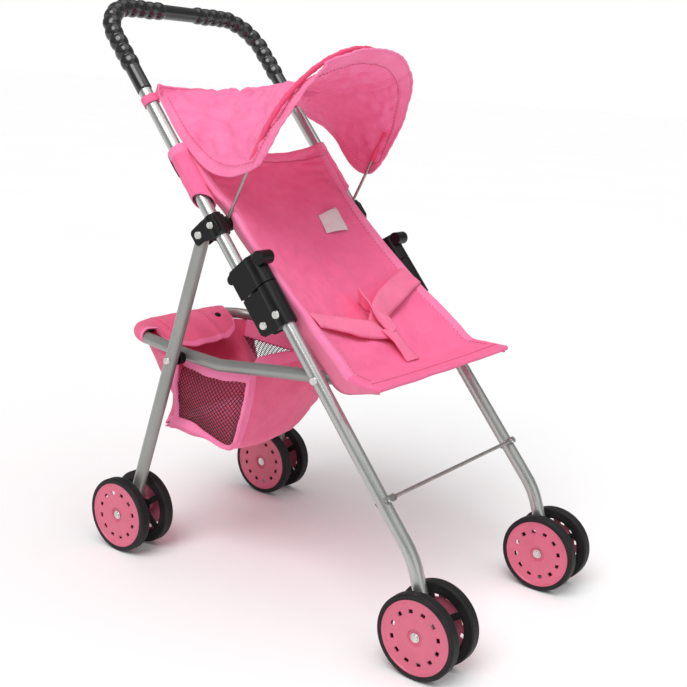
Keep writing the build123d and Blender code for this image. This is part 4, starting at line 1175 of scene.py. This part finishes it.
            # where this cord enters and leaves the rectangle
            ya = max(0.0, min(-sgn * k * PITCH / 0.9, sgn * (W_MM - k * PITCH) / 0.9))
            yb = min(H_MM, max(-sgn * k * PITCH / 0.9, sgn * (W_MM - k * PITCH) / 0.9))
            if yb - ya > 1.0:
                for i in range(25):
                    yy = lerp(ya, yb, i / 24)
                    xx = k * PITCH + sgn * yy * 0.9
                    pts3.append(net_point(xx / W_MM, yy / H_MM))
                strand(pts3, bias=0.0002 * sgn)
    net = mesh_object("basket_net_" + word, verts, faces, NET)
    for p in net.data.polygons:
        p.use_smooth = False
    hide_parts("basket_mesh_" + word)
    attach(net, "basket_frame")

    # curled binding along the bottom edge
    low_pts = [fb_point(side * 1.0, lerp(0.42, 0.95, i / 50)) for i in range(51)]
    basket_bits.append(sweep_tube("basket_low_bind_" + word, low_pts, lambda i: 0.0020 + 0.0003 * math.sin(i * 0.33), LIT_HEM, sides=10))
    rear_b = [rear_fn(0.0 if side < 0 else 1.0, k / 30) for k in range(31)]
    basket_bits.append(sweep_tube("basket_rear_bind_" + word, rear_b, lambda i: 0.0018 + 0.0002 * math.sin(i * 0.9), LIT_HEM, sides=10))


# sleeve round the crossbar, with the flap that lies over it
def cross_sleeve(u, v):
    """u along the bar, round the near corner, and v round the bar and on to the flap."""
    bx, by = table(SLV, u)
    cz = 212.5
    e = 0.01
    x0, y0 = table(SLV, max(0.0, u - e))
    x1, y1 = table(SLV, min(1.0, u + e))
    tx, ty = x1 - x0, y1 - y0
    m = math.hypot(tx, ty)
    ox, oy = -ty / m, tx / m                    # outwards, away from the basket
    if oy < 0 and abs(tx) > abs(ty):
        ox, oy = -ox, -oy
    n_round = 0.50
    s_mm = u * 150.0
    wr = 0.55 * math.sin(s_mm / 3.6 + 2 * fbm((s_mm, 0, 0), 0.05, 1, 3.0)) + 0.9 * fbm((s_mm, v * 50, 0), 0.05, 2, 2.0)
    r = 7.9 + 0.35 * wr
    if v < n_round:
        a = lerp(-math.pi * 0.80, math.pi * 0.58, v / n_round)
        return V(bx + ox * math.cos(a) * r, by + oy * math.cos(a) * r, cz + math.sin(a) * r)
    t = (v - n_round) / (1 - n_round)
    a = math.pi * 0.58
    xs, ys, zs = bx + ox * math.cos(a) * r, by + oy * math.cos(a) * r, cz + math.sin(a) * r
    reach, drop = table(FLP, u)
    fy = ys - reach * t
    fz = zs - drop * t ** 1.5 + 1.1 * wr * t * (1 - 0.4 * t) + 2.0 * math.sin(math.pi * t) * (reach / 44.0)
    return V(xs + 3.0 * t * (1 if u < 0.15 else 0) - 0.06 * xs * t, fy, fz)


SLV = [[0.0, -80.6, 12.0], [0.10, -76.0, 26.0], [0.20, -66.5, 37.0], [0.30, -52.0, 42.8], [0.5, -12.0, 44.0], [0.7, 22.0, 44.0], [0.86, 44.0, 43.8], [1.0, 58.0, 41.6]]
FLP = [[0.0, 3.0, 2.0], [0.10, 8.0, 4.0], [0.20, 24.0, 13.0], [0.30, 38.0, 21.0], [0.42, 44.0, 23.5], [0.6, 44.0, 23.0], [0.74, 43.0, 22.0], [0.86, 36.0, 16.0], [0.95, 22.0, 8.0], [1.0, 7.0, 3.0]]


def flap_band(u, v):
    return 1 if (v > 0.94 or u < 0.03 or u > 0.97) else 0


flap = grid("basket_flap_sleeve", int(150 * FINE), int(70 * FINE), cross_sleeve, [SHADED_BASKET_CLOTH, LIT_HEM], thickness=0.0013, size=(0.1, 0.07), band=flap_band)
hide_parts("basket_rear_flap")
# stitched channel on the flap
for x0, word in ((-20.0, "a"), (18.0, "b")):
    pts, nn = [], []
    for i in range(31):
        v = lerp(0.45, 0.86, i / 30)
        u = 0.5 + x0 / 110.0
        p = cross_sleeve(u, v)
        du = cross_sleeve(u + 0.01, v) - cross_sleeve(u - 0.01, v)
        dv = cross_sleeve(u, v + 0.01) - cross_sleeve(u, v - 0.01)
        m = du.cross(dv).normalized()
        if m.z < 0:
            m.negate()
        pts.append(p + m * 0.0008)
        nn.append(m)
    basket_bits.append(dashes("basket_flap_stitch_" + word, pts, nn, THREAD))

# snap on the flap, lying on the cloth
su, sv = 0.775, 0.715
sp = cross_sleeve(su, sv)
sa = (cross_sleeve(su + 0.02, sv) - cross_sleeve(su - 0.02, sv)).normalized()
sb = (cross_sleeve(su, sv + 0.02) - cross_sleeve(su, sv - 0.02)).normalized()
sm = sa.cross(sb).normalized()
if sm.z < 0:
    sm.negate()
sb = sm.cross(sa)
verts, faces = [sp + sm * 0.0026], []
profile = [(0.0012, 0.00255), (0.0022, 0.0023), (0.0030, 0.0018), (0.0035, 0.0011), (0.0036, 0.0004), (0.0034, -0.0003)]
for r, h in profile:
    for k in range(28):
        an = 2 * math.pi * k / 28
        verts.append(sp + sm * h + sa * (r * math.cos(an)) + sb * (r * math.sin(an)))
for k in range(28):
    faces.append((0, 1 + k, 1 + (k + 1) % 28))
    for j in range(len(profile) - 1):
        a_, b_ = 1 + j * 28 + k, 1 + j * 28 + (k + 1) % 28
        faces.append((a_, a_ + 28, b_ + 28, b_))
faces.append(tuple(1 + (len(profile) - 1) * 28 + k for k in range(28))[::-1])
snap = mesh_object("basket_snap_cap", verts, faces, BLACK)
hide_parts("basket_snap")
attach(snap, "basket_frame")

# the basket's cloth pieces go with the basket frame, in place of the basket fabric part
for o in [rear_panel, front_panel, flap] + basket_bits:
    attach(o, "basket_frame")
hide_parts("basket_fabric")
DECLARE.append((rear_panel, "hung", ["basket_bar"], []))
DECLARE.append((front_panel, "hung", ["basket_bar"], []))
DECLARE.append((flap, "folded", ["basket_bar"], []))

import bmesh


def half_area(o):
    bm = bmesh.new()
    bm.from_mesh(o.data)
    a = sum(f.calc_area() for f in bm.faces) / 2
    bm.free()
    return a


# flat cuts: width and length in metres, and the area where the cut isn't a rectangle
FLAT = {
    "canopy_sheet": ((0.43, 0.17), 0.0465),
    "seat_sling": ((0.235, 0.33), 0.070),
    "seat_sleeve_right": ((0.052, 0.058), None),
    "seat_sleeve_left": ((0.052, 0.058), None),
    "care_label_blank": ((0.028, 0.030), None),
    "lap_belt_far": ((0.0245, l_far), None),
    "lap_belt_near": ((0.0195, l_near), None),
    "lap_belt_tail": ((0.0175, l_tw), None),
    "crotch_strap_ribbon": ((0.0195, l_cr), None),
    "basket_rear_panel": ((0.26, 0.10), 0.0198),
    "basket_front_and_base": ((0.18, 0.19), None),
    "basket_flap_sleeve": ((0.15, 0.090), 0.0115),
}
for o, held, rests, withp in DECLARE:
    flat, area = FLAT[o.name]
    print("SHEET", o.name, "half area", round(half_area(o), 5), "flat", round(flat[0] * flat[1], 5), flat)
    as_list(rests)
    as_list(withp)

# ------------------------------------------------------------ stage, light, camera
def plane(name, size, z, mat):
    n = 24
    verts, faces = [], []
    for j in range(n + 1):
        for i in range(n + 1):
            verts.append(Vector(((i / n - 0.5) * size, (j / n - 0.5) * size, z)))
    for j in range(n):
        for i in range(n):
            a = j * (n + 1) + i
            faces.append((a, a + 1, a + n + 2, a + n + 1))
    return mesh_object(name, verts, faces, mat)


FLOOR = solid("pale_floor", (0.975, 0.975, 0.975), (0.99, 0.99, 0.99), rough=0.7, scale=2.0, bump=0.0, spec=0.1, rough_var=0.02)
floor = plane("floor", 60.0, -0.0006, FLOOR)

world = bpy.data.worlds.new("studio")
bpy.context.scene.world = world
world.use_nodes = True
wn = world.node_tree
wn.nodes.clear()
out = wn.nodes.new("ShaderNodeOutputWorld")
bg = wn.nodes.new("ShaderNodeBackground")
bg.inputs["Color"].default_value = (1, 1, 1, 1)
bg.inputs["Strength"].default_value = 0.30
bg2 = wn.nodes.new("ShaderNodeBackground")
bg2.inputs["Color"].default_value = (1, 1, 1, 1)
bg2.inputs["Strength"].default_value = 1.0
lp = wn.nodes.new("ShaderNodeLightPath")
mx = wn.nodes.new("ShaderNodeMixShader")
wn.links.new(lp.outputs["Is Camera Ray"], mx.inputs["Fac"])
wn.links.new(bg.outputs[0], mx.inputs[1])
wn.links.new(bg2.outputs[0], mx.inputs[2])
wn.links.new(mx.outputs[0], out.inputs["Surface"])


def area_light(name, loc, target, size, power, colour=(1, 1, 1)):
    ld = bpy.data.lights.new(name, "AREA")
    ld.shape = "DISK"
    ld.size = size
    ld.energy = power
    ld.color = colour
    lo = bpy.data.objects.new(name, ld)
    lo.location = loc
    lo.rotation_mode = "QUATERNION"
    lo.rotation_quaternion = (Vector(target) - Vector(loc)).to_track_quat("-Z", "Y")
    bpy.context.scene.collection.objects.link(lo)
    return lo


def sun(name, direction, strength, softness):
    ld = bpy.data.lights.new(name, "SUN")
    ld.energy = strength
    ld.angle = math.radians(softness)
    lo = bpy.data.objects.new(name, ld)
    lo.rotation_mode = "QUATERNION"
    lo.rotation_quaternion = (-Vector(direction)).to_track_quat("-Z", "Y")
    bpy.context.scene.collection.objects.link(lo)
    return lo


sun("key", (-0.75, -0.10, 1.0), 1.75, 38)
sun("top", (0.05, -0.25, 1.0), 0.90, 60)
sun("front", (-0.35, -1.0, 0.35), 0.35, 50)

cam_data = bpy.data.cameras.new("camera")
cam_data.sensor_width = 36.0
cam_data.lens = 56.36
cam_data.clip_start, cam_data.clip_end = 0.01, 100
cam = bpy.data.objects.new("camera", cam_data)
R = Vector((0.59237759, -0.80299351, 0.06549974))
U = Vector((0.1550665, 0.19341759, 0.96878482))
B = Vector((-0.79059672, -0.5637296, 0.23909363))
m = Matrix(((R.x, U.x, B.x, -0.824437), (R.y, U.y, B.y, -0.599110), (R.z, U.z, B.z, 0.477796), (0, 0, 0, 1)))
cam.matrix_world = m
bpy.context.scene.collection.objects.link(cam)
bpy.context.scene.camera = cam
bpy.context.scene.view_settings.view_transform = "Standard"
bpy.context.scene.view_settings.look = "None"
